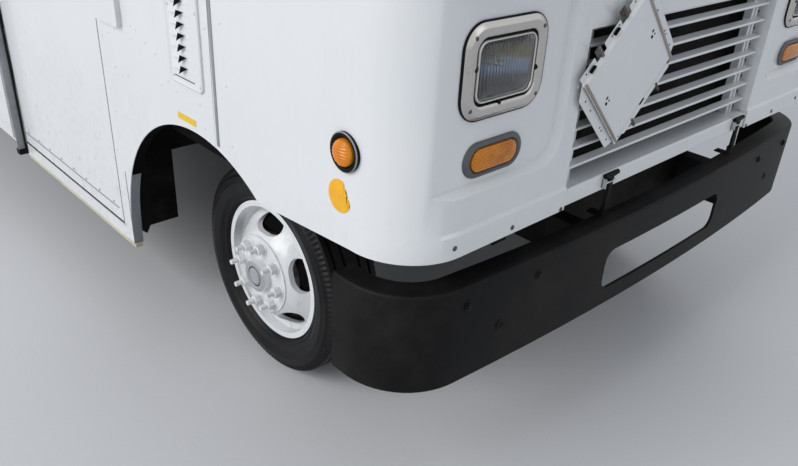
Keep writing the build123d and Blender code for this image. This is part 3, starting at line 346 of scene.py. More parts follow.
# The record's slots with their own finish first, then the finishes of the scene that count as that slot
slotFinishes = {
    "cap_white": ("capWhite", "placardWhite", "hemTan"), "body_white": ("bodyWhite", "creamSill"),
    "window_glass": ("windowGlass",), "lamp_glass": ("lampGlass", "ribbedGlass"),
    "chrome": ("chrome", "steel", "lampBowl", "mirrorGlass"), "red_lens": ("redLens",),
    "amber_lens": ("amberLens", "reflector", "labelYellow", "amberGrid", "amberClear"),
    "black_steel": ("blackSteel", "darkScrew", "rustySteel", "darkGap"), "chassis_black": ("chassisBlack",),
    "engine_grey": ("engineGrey", "radiatorFins"), "wheel_white": ("wheelWhite", "studWhite", "hubGrey"),
    "tyre": ("tyre", "rubber", "greyRubber", "greySeal"), "floor_plate": ("checkerPlate",),
    "stainless": ("stainless", "aluminium", "griddleSteel"), "dash_plastic": ("dashPlastic",),
    "seat_vinyl": ("seatVinyl",)}
nodeSlots = {part["node"]: part["material_slot"] for part in frame["record"]["subparts"]}


def bodyOf(node):
    return frame["nodes"][node]["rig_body"]


def coat(piece, finish):
    piece.data.materials.clear()
    piece.data.materials.append(finishes[finish].material)


for node, cadPiece in frame["nodes"].items():
    coat(cadPiece, slotFinishes[nodeSlots[node]][0])


# Sheet-metal nodes keep their form and get rolled edges
softEdges = {
    "front_cap": 0.005, "hood_lid": 0.003, "windshield_frame": 0.004, "cab_side_right": 0.0015,
    "cab_side_left": 0.0015, "cab_door_right": 0.003, "cab_door_left": 0.003, "body_side_right": 0.003,
    "body_side_left": 0.003, "rear_frame": 0.003, "rear_door_right": 0.004, "rear_door_left": 0.004,
    "serving_hatch": 0.004, "serving_shelf": 0.004, "front_bumper": 0.008, "rear_bumper": 0.006,
    "partition": 0.002, "kitchen_units": 0.003, "extraction_hood": 0.002, "step_wells": 0.002,
    "engine": 0.012, "fuel_tank": 0.004, "wheel_front_right": 0.003, "wheel_front_left": 0.003,
    "wheel_rear_right": 0.003, "wheel_rear_left": 0.003, "roof": 0.003,
}


# The arch edge is eased to the photo, and the hand holes of the wheels are drawn longer
reshapeLook = {"arch": 0.565, "shownArch": 0.572, "archBack": 0.020, "edgeSlack": 0.0012, "post": 0.101,
               "postOut": 0.001, "postSlack": 0.0045, "postBack": 0.026, "holeStart": 162, "holes": 5,
               "hole": 13.5, "shownHole": 20.0, "holeRadius": 0.188, "holeReach": 0.036,
               "inner": 0.150, "outer": 0.2205}


def easeArch(point):
    look = reshapeLook
    y, z = point.y - axleY, point.z - wheelZ
    reach = math.hypot(y, z)
    if z > -0.0005 and abs(reach - look["arch"]) < look["edgeSlack"]:
        point.y = axleY + look["archBack"] + look["shownArch"] * y / reach
        point.z = wheelZ + look["shownArch"] * z / reach
    elif z < 0 and abs(abs(y) - look["arch"]) < look["edgeSlack"]:
        point.y = axleY + look["archBack"] + math.copysign(look["shownArch"], y)
    elif z < look["post"] and abs(y - look["arch"] - look["postOut"]) < look["postSlack"]:
        point.y += look["postBack"]


def stretchHoles(point, centreY):
    look = reshapeLook
    y, z = point.y - centreY, point.z - wheelZ
    radius = math.hypot(y, z)
    if not look["inner"] < radius < look["outer"]:
        return
    pitch = 360 / look["holes"]
    turn = math.degrees(math.atan2(z, y)) - look["holeStart"]
    offset = turn - pitch * round(turn / pitch)
    oval = max(0.0, 1 - ((radius - look["holeRadius"]) / look["holeReach"]) ** 2)
    half = look["hole"] + (look["shownHole"] - look["hole"]) * oval
    if abs(offset) <= look["hole"]:
        shown = offset * half / look["hole"]
    else:
        share = (pitch / 2 - abs(offset)) / (pitch / 2 - look["hole"])
        shown = math.copysign(pitch / 2 - share * (pitch / 2 - half), offset)
    angle = math.radians(look["holeStart"] + turn - offset + shown)
    point.y = centreY + radius * math.cos(angle)
    point.z = wheelZ + radius * math.sin(angle)


# Rounds the edges of a piece where its faces turn by more than the angle
def rollEdges(piece, width, segments, angle):
    bevel = piece.modifiers.new("edges", "BEVEL")
    bevel.width = width
    bevel.segments = segments
    bevel.limit_method = "ANGLE"
    bevel.angle_limit = math.radians(angle)
    bevel.harden_normals = True


def soften(node, width):
    mesh = frame["nodes"][node].data.copy()
    grid = bmesh.new()
    grid.from_mesh(mesh)
    bmesh.ops.remove_doubles(grid, verts=grid.verts, dist=0.00002)
    bmesh.ops.dissolve_limit(grid, angle_limit=math.radians(0.4), verts=grid.verts, edges=grid.edges)
    for corner in grid.verts:
        if node in ("front_cap", "cab_side_right", "cab_side_left"):
            easeArch(corner.co)
        if node.startswith("wheel_"):
            stretchHoles(corner.co, axleY if "front" in node else rearAxleY)
    for part in (*grid.edges, *grid.faces):
        part.smooth = True
    grid.to_mesh(mesh)
    grid.free()
    if "custom_normal" in mesh.attributes:
        mesh.attributes.remove(mesh.attributes["custom_normal"])
    piece = bpy.data.objects.new(node + "_shell", mesh)
    bpy.context.scene.collection.objects.link(piece)
    rollEdges(piece, width, 3, 30)
    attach(piece, bodyOf(node))
    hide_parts(node)
    return piece


for node, width in softEdges.items():
    soften(node, width)
print("sheet metal edges rolled")


def turnsOf(count):
    return [2 * math.pi * step / count for step in range(count)]


# Even steps from one value to another, both of them included
def spread(first, last, count):
    return [first + (last - first) * number / (count - 1) for number in range(count)]


# Points and faces of one piece, in metres, in the truck's own frame
class Shape:
    def __init__(self):
        self.grid = bmesh.new()

    def skin(self, rings, loop=False, caps=True):
        made = [[self.grid.verts.new(point) for point in ring] for ring in rings]
        if loop:
            made.append(made[0])
        for first, second in zip(made, made[1:]):
            for start in range(len(first)):
                end = (start + 1) % len(first)
                self.grid.faces.new((first[start], first[end], second[end], second[start]))
        if caps and not loop:
            self.grid.faces.new(made[0][::-1])
            self.grid.faces.new(made[-1])
        return self

    def lathe(self, profile, centre, axis="X", segments=64, loop=False):
        rings = [[Vector(centre) + spin(axis, along, radius, turn) for turn in turnsOf(segments)]
                 for along, radius in profile]
        return self.skin(rings, loop)

    # Rings about a crosswise line, with depths that count outwards on that side of the truck
    def disc(self, profile, centre, side, segments, loop=True, start=0.0):
        outline = [(side * (start + depth), radius) for depth, radius in profile]
        return self.lathe(outline, centre, "X", segments, loop)

    def block(self, first, second):
        low, high = zip(*[sorted(pair) for pair in zip(first, second)])
        flat = [(low[0], low[1]), (high[0], low[1]), (high[0], high[1]), (low[0], high[1])]
        return self.skin([[(x, y, z) for x, y in flat] for z in (low[2], high[2])])

    def prism(self, outline, axis, low, high):
        order = {"X": lambda d, a, b: (d, a, b), "Y": lambda d, a, b: (a, d, b), "Z": lambda d, a, b: (a, b, d)}
        return self.skin([[order[axis](along, a, b) for a, b in outline] for along in (low, high)])

    def layers(self, outlines, spot, loop=False, caps=True):
        rings = [[spot(u, w, proud) for u, w in outline] for outline, proud in outlines]
        return self.skin(rings, loop, caps=caps)

    # Outlines on the way from an outer to an inner size, each as (share of the way, how far proud)
    def steps(self, spot, outer, inner, rows, loop=True, caps=True, corner=8):
        outlines = [(between(outer, inner, share, corner), proud) for share, proud in rows]
        return self.layers(outlines, spot, loop, caps)

    # A flat ring between two sizes
    def frame(self, spot, outer, inner, height, corner):
        rows = ((0, 0.0002), (0, height), (1, height), (1, 0.0002))
        return self.steps(spot, outer, inner, rows, corner=corner)

    def tube(self, path, radius, segments=12):
        path = [Vector(point) for point in path]
        normal = None
        rings = []
        for index, point in enumerate(path):
            direction = (path[min(index + 1, len(path) - 1)] - path[max(index - 1, 0)]).normalized()
            normal = direction.orthogonal() if normal is None else normal
            normal = (normal - direction * normal.dot(direction)).normalized()
            across = direction.cross(normal)
            rings.append([point + radius * (normal * math.cos(turn) + across * math.sin(turn))
                          for turn in turnsOf(segments)])
        return self.skin(rings)

    # Rounded head of a rivet or screw, or with six sides the head of a bolt
    def head(self, spot, direction, radius, height, segments=14,
             rounds=((1, 0), (0.93, 0.5), (0.66, 0.86), (0.2, 1))):
        direction = Vector(direction).normalized()
        side = direction.orthogonal().normalized()
        up = direction.cross(side)
        rings = [[Vector(spot) + direction * height * lift
                  + radius * share * (side * math.cos(turn) + up * math.sin(turn))
                  for turn in turnsOf(segments)] for share, lift in rounds]
        return self.skin(rings)

    def heads(self, spots, direction, radius, height, segments=14):
        for spot in spots:
            self.head(spot, direction, radius, height, segments)
        return self

    def bolt(self, spot, direction, radius, height):
        return self.head(spot, direction, radius, height, 6, ((1, 0), (1, 0.8), (0.86, 1)))


def spin(axis, along, radius, turn):
    side = radius * math.cos(turn)
    up = radius * math.sin(turn)
    return Vector({"X": (along, side, up), "Y": (side, along, up), "Z": (side, up, along)}[axis])


# Outline of a rectangle with round corners, or of an oval where the radius is half the height
def rounded(width, height, radius, corner=8):
    points = []
    for quarter in range(4):
        middleX = (width / 2 - radius) * (1 if quarter in (0, 3) else -1)
        middleY = (height / 2 - radius) * (1 if quarter < 2 else -1)
        for step in range(corner + 1):
            turn = math.pi / 2 * (quarter + step / corner)
            points.append((middleX + radius * math.cos(turn), middleY + radius * math.sin(turn)))
    return points


# The same outline between an outer and an inner size
def between(outer, inner, share, corner=8):
    return rounded(*[a + (b - a) * share for a, b in zip(outer, inner)], corner)


def place(shape, name, finish, body="chassis", replaces=(), bevel=0.0, sharp=40, segments=2):
    bmesh.ops.remove_doubles(shape.grid, verts=shape.grid.verts, dist=0.000005)
    bmesh.ops.recalc_face_normals(shape.grid, faces=shape.grid.faces)
    mesh = bpy.data.meshes.new(name)
    shape.grid.to_mesh(mesh)
    shape.grid.free()
    mesh.polygons.foreach_set("use_smooth", [True] * len(mesh.polygons))
    mesh.set_sharp_from_angle(angle=math.radians(sharp))
    piece = bpy.data.objects.new(name, mesh)
    bpy.context.scene.collection.objects.link(piece)
    if bevel:
        rollEdges(piece, bevel, segments, 35)
    coat(piece, finish)
    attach(piece, body)
    if replaces:
        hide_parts(*replaces)
    return piece


# A piece that is a set of rivets or screws, with the radius and height of their heads
def placeHeads(name, finish, spots, direction, size, body="chassis"):
    place(Shape().heads(spots, direction, *size), name, finish, body)


# Places that the pieces share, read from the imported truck
capLow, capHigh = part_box("front_cap")
noseLook = {"bandProud": 0.006, "corner": 0.190, "recess": 0.022, "bodyStep": 0.040}
noseY = capLow[1] + noseLook["bandProud"]
capHalf = capHigh[0]
bodyHalf = capHalf + noseLook["bodyStep"]
ahead, aft = (0, -1, 0), (0, 1, 0)
wallRivet, panelRivet = (0.0055, 0.0020, 10), (0.0050, 0.0020, 10)     # radius, height and sides of the heads


def along(place):       # a place counted from the front axle
    return axleY + place


# Half width of the nose at a lengthwise place, round its corner
def noseHalf(y):
    centre = noseY + noseLook["corner"]
    if y >= centre:
        return capHalf
    return capHalf - noseLook["corner"] + math.sqrt(noseLook["corner"] ** 2 - (centre - y) ** 2)


# Front of the nose at a place across it
def noseFront(x):
    over = abs(x) - (capHalf - noseLook["corner"])
    if over <= 0:
        return noseY
    return noseY + noseLook["corner"] - math.sqrt(noseLook["corner"] ** 2 - over ** 2)


# Maps width, height and how far proud to a place on the nose or on a side wall
def onNose(x, z, sink=0.0):
    side = 1 if x > 0 else -1
    return lambda u, w, proud: (x + side * u, noseY + sink - proud, z + w)


def onSide(y, z, half, side=-1):
    return lambda u, w, proud: (side * (half + proud), y + u, z + w)


# Outline of a side wall's trim, from pairs of (how far out, place)
def outward(side, half, outline):
    return [(side * (half + out), spot) for out, spot in outline]


def sideName(side):
    return "Left" if side > 0 else "Right"


# A face that rises fast at its rim and levels out in the middle
def crowned(share):
    return 1 - (1 - share) ** 2


# Headlamps: chrome bezel on a black gasket, sealed lamp with a ribbed lens
headlampLook = {
    "x": 0.868, "z": 1.339, "outer": (0.290, 0.226, 0.058), "opening": (0.216, 0.158, 0.032),
    "ring": (0.204, 0.146, 0.027), "lens": (0.193, 0.135, 0.023), "bowl": (0.176, 0.118, 0.018),
    "small": (0.004, 0.004, 0.0015), "gasket": 0.006, "crown": 0.004, "lensFront": 0.0085, "bowlDepth": 0.050,
    "bowlFront": 0.003, "bulbDrop": 0.004,
    "gasketSteps": ((0, 0.0002), (0, 0.004), (0.6, 0.006)),
    "bezelSteps": ((0, 0.0030), (0, 0.0050), (0.06, 0.0072), (0.30, 0.0128), (0.36, 0.0138), (0.44, 0.0140),
                   (0.90, 0.0122), (0.96, 0.0112), (1, 0.0085), (1, 0.0030)),
    "wellSteps": ((0, 0.0050), (0.5, 0.0022), (1, 0.0022), (1, -0.0010), (0, -0.0010)),
    "ringSteps": ((0, 0.0020), (0, 0.0085), (0.3, 0.0108), (0.8, 0.0108), (1, 0.0090), (1, 0.0020)),
    "lensShares": (0, 0.04, 0.09, 0.15, 0.22, 0.30, 0.39, 0.49, 0.60, 0.72, 0.85, 1),
    "bowlShares": (0, 0.06, 0.15, 0.27, 0.4, 0.55, 0.7, 0.85, 0.97),
    "bulb": ((0.046, 0.011), (0.034, 0.011), (0.030, 0.0075), (0.016, 0.0075), (0.010, 0.005), (0.008, 0.0012)),
    "screws": ((-0.118, 0.082), (0.118, 0.082), (-0.118, -0.082), (0.118, -0.082)), "screwDepth": 0.0126,
    "aims": ((-0.1085, -0.016), (0.016, -0.0800), (0.1095, 0.010)), "aimDepth": 0.0070}


def makeHeadlamp(side):
    look = headlampLook
    spot = onNose(side * look["x"], look["z"], noseLook["recess"])
    tag = sideName(side)
    outer, opening, ring, lens, small = (look[key] for key in ("outer", "opening", "ring", "lens", "small"))
    wide = [value + look["gasket"] for value in outer]
    edge = [(between(wide, outer, share), proud) for share, proud in look["gasketSteps"]]
    gasket = Shape().layers(edge + [(rounded(*opening), 0.006), (rounded(*opening), 0.0002)], spot, loop=True)
    place(gasket, "headlampGasket" + tag, "rubber")
    bezel = Shape().steps(spot, outer, opening, look["bezelSteps"])
    place(bezel, "headlampBezel" + tag, "chrome", replaces=("headlamps",))
    place(Shape().steps(spot, opening, ring, look["wellSteps"]), "headlampWell" + tag, "rubber")
    place(Shape().steps(spot, ring, lens, look["ringSteps"]), "headlampRing" + tag, "stainless")
    fronts = [(share, look["lensFront"] + look["crown"] * crowned(share)) for share in look["lensShares"]]
    glass = Shape().steps(spot, lens, small, [(0, 0.0045)] + fronts, loop=False)
    place(glass, "headlampLens" + tag, "ribbedGlass", replaces=("headlamp_glass",))
    depths = [(share, look["bowlFront"] - look["bowlDepth"] * crowned(share)) for share in look["bowlShares"]]
    bowl = Shape().steps(spot, look["bowl"], small, depths, loop=False, caps=False)
    place(bowl, "headlampBowl" + tag, "lampBowl")
    bulb = Shape().lathe(look["bulb"], spot(0, look["bulbDrop"], 0), "Y", 20)
    place(bulb, "headlampBulb" + tag, "steel")
    placeHeads("headlampScrews" + tag, "darkScrew", [spot(u, w, look["screwDepth"]) for u, w in look["screws"]],
               ahead, (0.0056, 0.0030))
    placeHeads("headlampAimScrews" + tag, "blackSteel", [spot(u, w, look["aimDepth"]) for u, w in look["aims"]],
               ahead, (0.0072, 0.0068))


# Turn signals: oval lens in a grey rubber grommet
turnLook = {"x": 0.875, "z": 1.122, "grommet": (0.213, 0.092, 0.046), "lip": (0.176, 0.068, 0.034),
            "lens": (0.166, 0.058, 0.029), "small": (0.004, 0.002, 0.001), "front": 0.0116, "crown": 0.0034,
            "outerSteps": ((0, 0.0002), (0, 0.003), (0.12, 0.0062), (0.35, 0.0082), (0.8, 0.0090),
                           (0.95, 0.0082), (1, 0.0062)),
            "innerSteps": ((0.6, 0.0026), (1, 0.0022), (1, 0.0002)),
            "lensSteps": ((0, 0.0005), (0, 0.0090), (0.05, 0.0112)), "shares": (0.1, 0.3, 0.5, 0.75, 1)}


def makeTurnSignal(side):
    look = turnLook
    spot = onNose(side * look["x"], look["z"], noseLook["recess"])
    tag = sideName(side)
    outer, lip, lens = look["grommet"], look["lip"], look["lens"]
    rows = [(between(outer, lip, share), proud) for share, proud in look["outerSteps"]]
    rows += [(between(lip, lens, share), proud) for share, proud in look["innerSteps"]]
    place(Shape().layers(rows, spot, loop=True), "turnGrommet" + tag, "greyRubber")
    fronts = [(share, look["front"] + look["crown"] * crowned(share)) for share in look["shares"]]
    glow = Shape().steps(spot, lens, look["small"], list(look["lensSteps"]) + fronts, loop=False)
    place(glow, "turnLens" + tag, "amberGrid", replaces=("signal_lamps",))


# Side markers: ribbed round lens in a black flange
markerLook = {"y": -0.700, "z": 1.140, "sink": 0.004, "lens": 0.034, "height": 0.026, "rib": 0.0075,
              "ribDepth": 0.0026, "ribStart": 0.011, "rounds": 26,
              "flange": ((0.0, 0.0500), (0.0075, 0.0500), (0.0115, 0.0485), (0.0138, 0.0455),
                         (0.0140, 0.0425), (0.0120, 0.0392), (0.0080, 0.0372), (0.0065, 0.0350),
                         (0.0060, 0.0300), (0.0, 0.0300)),
              "rim": ((0.0105, 0.0504), (0.0122, 0.0497), (0.0134, 0.0478), (0.0126, 0.0478), (0.0100, 0.0490))}


def makeMarker(side):
    look = markerLook
    centre = Vector((side * (capHalf - look["sink"]), along(look["y"]), look["z"]))
    tag = sideName(side)
    place(Shape().disc(look["flange"], centre, side, 56), "markerFlange" + tag, "rubber")
    place(Shape().disc(look["rim"], centre, side, 56), "markerRim" + tag, "greySeal")
    dome = [(0.012 + (look["height"] - 0.006) * math.sin(turn), look["lens"] * math.cos(turn) + 0.0002)
            for turn in spread(0, math.pi / 2, look["rounds"] + 1)]
    lens = Shape().disc([(0.004, look["lens"])] + dome, centre, side, 72, loop=False)
    for vertex in lens.grid.verts:      # ribs lie level across the dome
        offset = vertex.co - centre
        reach = abs(offset.x)
        if reach > look["ribStart"]:
            wave = 0.5 - 0.5 * math.cos(2 * math.pi * offset.z / look["rib"])
            vertex.co.x -= side * look["ribDepth"] * wave * min(1, (reach - look["ribStart"]) / 0.006)
    place(lens, "markerLens" + tag, "amberClear", sharp=80)


# Round reflector that has lost its front half along a ragged tear, kerb side only
reflectorLook = {"y": -0.680, "z": 1.018, "radius": 0.0435, "thick": 0.0014, "start": 104, "end": 222,
                 "steps": 22, "tear": (
                     (-0.0385, -0.0205), (-0.0365, -0.0150), (-0.0402, -0.0110), (-0.0325, -0.0055),
                     (-0.0345, 0.0010), (-0.0262, 0.0045), (-0.0288, 0.0115), (-0.0212, 0.0165),
                     (-0.0228, 0.0240), (-0.0160, 0.0285), (-0.0172, 0.0350))}


def makeReflector():
    look = reflectorLook
    arc = [(look["radius"] * math.cos(turn), look["radius"] * math.sin(turn)) for turn in
           spread(math.radians(look["start"]), math.radians(look["end"] - 360), look["steps"] + 1)]
    rings = []
    for shrink, proud in ((1, 0.0002), (1, look["thick"] * 0.7), (0.97, look["thick"])):
        ring = []
        for u, w in arc + list(look["tear"]):
            y = along(look["y"]) + u * shrink
            ring.append((-(noseHalf(y) + proud), y, look["z"] + w * shrink))
        rings.append(ring)
    shape = Shape().skin(rings)
    bmesh.ops.triangulate(shape.grid, faces=shape.grid.faces)
    place(shape, "reflector", "reflector")


for side in (-1, 1):
    makeHeadlamp(side)
    makeTurnSignal(side)
    makeMarker(side)
makeReflector()
print("lamps made")


# Grille: blades with a rolled lip, slotted posts, bottom rail, and a dark baffle behind them
grilleLook = {"half": 0.556, "front": 0.022, "first": 0.992, "pitch": 0.0573, "count": 7, "lip": 0.0052,
              "depth": 0.027, "rise": 0.006, "postX": 0.505, "postStrip": 0.016, "postSlot": 0.011,
              "postDeep": 0.022, "bottom": 0.888, "railTop": 0.942, "railDepth": 0.088, "top": 1.3897,
              "baffle": 0.100, "boltHeights": (0.955, 1.012, 1.070, 1.128, 1.186, 1.244, 1.302, 1.356)}


def slatOutline(z):
    look = grilleLook
    front = noseY + look["front"]
    turns = spread(math.radians(-60), math.radians(-300), 17)
    lip = [(front + look["lip"] * (1 + math.cos(turn)), z + look["lip"] * math.sin(turn)) for turn in turns]
    root = front + look["lip"] * 1.4
    back = front + look["depth"]
    rise = z + look["rise"]
    return lip + [(root, z + 0.0044), (back, rise + 0.0030), (back + 0.0016, rise + 0.0015),
                  (back, rise - 0.0004), (root + 0.001, z + 0.0005)]


def makeGrille():
    look = grilleLook
    half, top, low, high = look["half"], look["top"], look["bottom"], look["railTop"]
    blades = Shape()
    for number in range(look["count"]):
        blades.prism(slatOutline(look["first"] + number * look["pitch"]), "X", -half, half)
    place(blades, "grilleBlades", "capWhite", replaces=("grille",), sharp=50)
    posts = Shape()
    back = noseY + look["front"] + look["depth"]
    for middle in (-look["postX"], look["postX"]):
        for side in (-1, 1):
            inner = middle + side * look["postSlot"] / 2
            posts.block((inner, back - 0.006, high - 0.004),
                        (inner + side * look["postStrip"], back + look["postDeep"], top - 0.004))
    posts.block((-half, back - 0.004, top - 0.022), (half, back + 0.012, top))
    place(posts, "grillePosts", "capWhite", bevel=0.0012)
    deep = noseY + look["baffle"]
    baffle = Shape().block((-half, deep, high), (half, deep + 0.006, top - 0.001))
    place(baffle, "radiatorBaffle", "radiatorFins")
    near, far = noseY, noseY + look["railDepth"]
    section = [(near, low + 0.004), (near + 0.004, low), (near + 0.020, low), (near + 0.020, low + 0.0025),
               (near + 0.0035, low + 0.0035), (near + 0.0035, high - 0.0035), (far, high - 0.001),
               (far, high + 0.002), (near + 0.005, high), (near, high - 0.005)]
    place(Shape().prism(section, "X", -half, half), "grilleRail", "capWhite", bevel=0.001)
    bolts = Shape()
    for side in (-1, 1):
        bolts.heads([(side * (half + 0.0038), noseY + 0.056, z) for z in look["boltHeights"]], (-side, 0, 0),
                    0.0062, 0.0035)
    place(bolts, "grilleJambBolts", "darkScrew")


# Rubber latches on the grille's rail, each strap as half its outline from the head down to the foot
latchLook = {"spots": {"Right": -0.338, "Left": 0.490}, "gap": 0.0015, "thick": 0.011, "gripZ": 0.938,
             "grip": 0.034, "pinZ": 0.915, "pin": (-0.030, 0.026),
             "strap": ((0.036, 0.943), (0.036, 0.931), (0.013, 0.927), (0.0105, 0.905), (0.0085, 0.880),
                       (0.0125, 0.862), (0.0125, 0.826), (0.006, 0.815)),
             "keeper": (((-0.034, -0.004, 0.898), (-0.018, 0.0005, 0.936)),
                        ((-0.034, -0.016, 0.899), (-0.031, 0.0, 0.930)),
                        ((0.018, -0.004, 0.898), (0.026, 0.0005, 0.930))),
             "anchor": (((-0.011, -0.009, 0.800), (0.011, 0.004, 0.830)),
                        ((-0.016, -0.002, 0.796), (0.016, 0.045, 0.802)))}


def makeLatch(name, x):
    look = latchLook
    front = noseY - look["gap"]
    outline = [(x - u, z) for u, z in look["strap"]] + [(x + u, z) for u, z in look["strap"][::-1]]
    strap = Shape().prism(outline, "Y", front - look["thick"], front)
    place(strap, "latchStrap" + name, "rubber", bevel=0.003, segments=3)
    handle = Shape().tube([(x + u, front - 0.006, look["gripZ"]) for u in (-look["grip"], look["grip"])], 0.0075)
    place(handle, "latchHandle" + name, "rubber")
    keeper, anchor = Shape(), Shape()
    for shape, key in ((keeper, "keeper"), (anchor, "anchor")):
        for corners in look[key]:
            shape.block(*[(x + u, noseY + v, z) for u, v, z in corners])
    place(keeper, "latchKeeper" + name, "steel", bevel=0.0008)
    pin = Shape().tube([(x + u, noseY - 0.010, look["pinZ"]) for u in look["pin"]], 0.0032)
    place(pin, "latchPin" + name, "steel")
    place(anchor, "latchAnchor" + name, "chassisBlack", bevel=0.001)


makeGrille()
for name, x in latchLook["spots"].items():
    makeLatch(name, x)
print("grille made")


# Placard holder: blank diamond plate, channels on two edges, punched flanges on the other two
placardLook = {
    "x": -0.376, "z": 1.260, "side": 0.305, "sink": -0.022, "turn": 46.5, "lean": 0.045,
    "strip": 0.030, "lip": 0.021, "flange": 0.020, "fold": 0.010,
    "punched": ((0.113, 0.014), (-0.113, 0.018)),
    "punches": ((0.006, 0.006, 0.0046, 0.0034), (-0.005, -0.006, 0.0040, 0.0052),
                (0.008, -0.009, 0.0026, 0.0026)),
    "stripHoles": (-0.112, -0.060, -0.045, 0.048, 0.094), "holeHalf": 0.0026,
    "flangeHoles": (-0.125, -0.075, -0.005, 0.030, 0.105, 0.130), "flangeHoleHalf": 0.0024,
    "clips": ((0.011, 1, 0.012), (-0.007, -1, -0.004), (-0.104, 1, 0.006)),
    "tabs": ((-0.058, 1, 0.018), (0.060, 1, 0.026), (0.066, -1, 0.030), (-0.062, -1, 0.028)),
    "brackets": ((-0.158, 0.006), (0.193, -0.004), (0.0, -0.110), (0.0, 0.086)),
    "bolts": ((-0.158, 0.006), (0.200, -0.004))}


def makePlacard():
    look = placardLook
    centre = Vector((look["x"], noseY + look["sink"], look["z"]))
    tip = math.radians(look["turn"])
    half, fold, lip, strip, flange = look["side"] / 2, look["fold"], look["lip"], look["strip"], look["flange"]

    def spot(u, w, proud):       # u towards the upper right, w towards the upper left
        rise = u * math.sin(tip) + w * math.cos(tip)
        return centre + Vector((u * math.cos(tip) - w * math.sin(tip), -proud - look["lean"] * rise, rise))

    def slab(shape, u, w, proud):
        shape.layers([([(u[0], w[0]), (u[1], w[0]), (u[1], w[1]), (u[0], w[1])], d) for d in proud], spot)

    def slabRound(shape, u, w, halfU, halfW, proud):
        slab(shape, (u - halfU, u + halfU), (w - halfW, w + halfW), proud)

    section = [(-half, -0.006), (-half + 0.0015, -0.006), (-half + fold, 0.0), (half - fold, 0.0),
               (half - 0.0015, -0.006), (half, -0.006), (half - fold + 0.001, 0.0025),
               (-half + fold - 0.001, 0.0025)]
    plate = Shape().skin([[spot(u, w, proud) for w, proud in section] for u in (-half, half)])
    place(plate, "placardPlate", "placardWhite", replaces=("placard_holder",), bevel=0.0008)
    strips, hems, flanges = Shape(), Shape(), Shape()
    for side in (-1, 1):
        inner, outer, middle = side * (half - 0.003), side * (half + strip), side * (half - 0.006)
        strips.layers([([(inner, -half + 0.002), (outer, -half + 0.020), (outer, half - 0.036),
                         (inner, half - 0.002)], proud) for proud in (-0.0075, -0.0052)], spot)
        hems.tube([spot(middle, end, 0.0040) for end in (-half + 0.004, half - 0.004)], 0.0042, 10)
        for ends in ((-half + 0.004, -0.080), (-0.034, 0.040), (0.082, half - 0.008)):
            slab(flanges, ends, sorted((side * (half - 0.004), side * (half + flange))), (-0.008, -0.0058))
    strips.layers([([(half - 0.004, -half + 0.001), (-half + 0.030, -half + 0.001),
                     (-half + 0.046, -half - lip), (half - 0.022, -half - lip)], proud)
                   for proud in (-0.0030, -0.0008)], spot)
    place(strips, "placardStrips", "placardWhite", bevel=0.0008)
    place(hems, "placardHems", "hemTan")
    place(flanges, "placardFlanges", "placardWhite", bevel=0.0006)
    marks = Shape()
    slots = [(u + du, w + dw, a, b, 0.0027) for u, w in look["punched"] for du, dw, a, b in look["punches"]]
    for side in (-1, 1):
        slots += [(side * (half + 0.013), w, look["holeHalf"], look["holeHalf"], -0.0052)
                  for w in look["stripHoles"]]
    for u, w, halfU, halfW, depth in slots:
        slabRound(marks, u, w, halfU, halfW, (depth - 0.001, depth + 0.0002))
    for side in (-1, 1):
        for u in look["flangeHoles"]:
            slabRound(marks, u, side * (half + flange * 0.55), look["flangeHoleHalf"], look["flangeHoleHalf"],
                      (-0.007, -0.0055))
    place(marks, "placardHoles", "darkGap")
    clips = Shape()
    for u, flip, out in look["clips"]:
        slabRound(clips, u, flip * (half + out), 0.011, 0.0035, (-0.004, 0.0032))
    place(clips, "placardClips", "darkGap", bevel=0.0006)
    tabs = Shape()          # rusty tabs and wing nuts that hold the plate
    for u, flip, out in look["tabs"]:
        w = flip * (half + out)
        slab(tabs, (u - 0.012, u + 0.012), sorted((w - flip * 0.040, w + flip * 0.012)), (-0.0110, -0.0082))
        tabs.head(spot(u, w, -0.0085), ahead, 0.0085, 0.0075, 12)
        slabRound(tabs, u, w, 0.004, 0.019, (-0.0040, 0.0010))
    place(tabs, "placardTabs", "rustySteel", bevel=0.0008)
    brackets, bolts = Shape(), Shape()
    face = noseY + look["sink"]
    blade = noseY + grilleLook["front"]
    for x, z in [(look["x"] + dx, look["z"] + dz) for dx, dz in look["brackets"]]:
        brackets.block((x - 0.013, face + 0.006, z - 0.012), (x + 0.013, blade + 0.010, z + 0.012))
        brackets.block((x - 0.022, blade - 0.001, z - 0.020), (x + 0.022, blade + 0.0025, z + 0.020))
    place(brackets, "placardBrackets", "blackSteel", bevel=0.001)
    for x, z in [(look["x"] + dx, look["z"] + dz) for dx, dz in look["bolts"]]:
        bolts.bolt((x, face + 0.004, z), ahead, 0.0085, 0.006)
        bolts.tube([(x, face + 0.004, z), (x, blade + 0.020, z)], 0.0042)
    place(bolts, "placardBolts", "darkScrew")


makePlacard()
print("placard holder made")


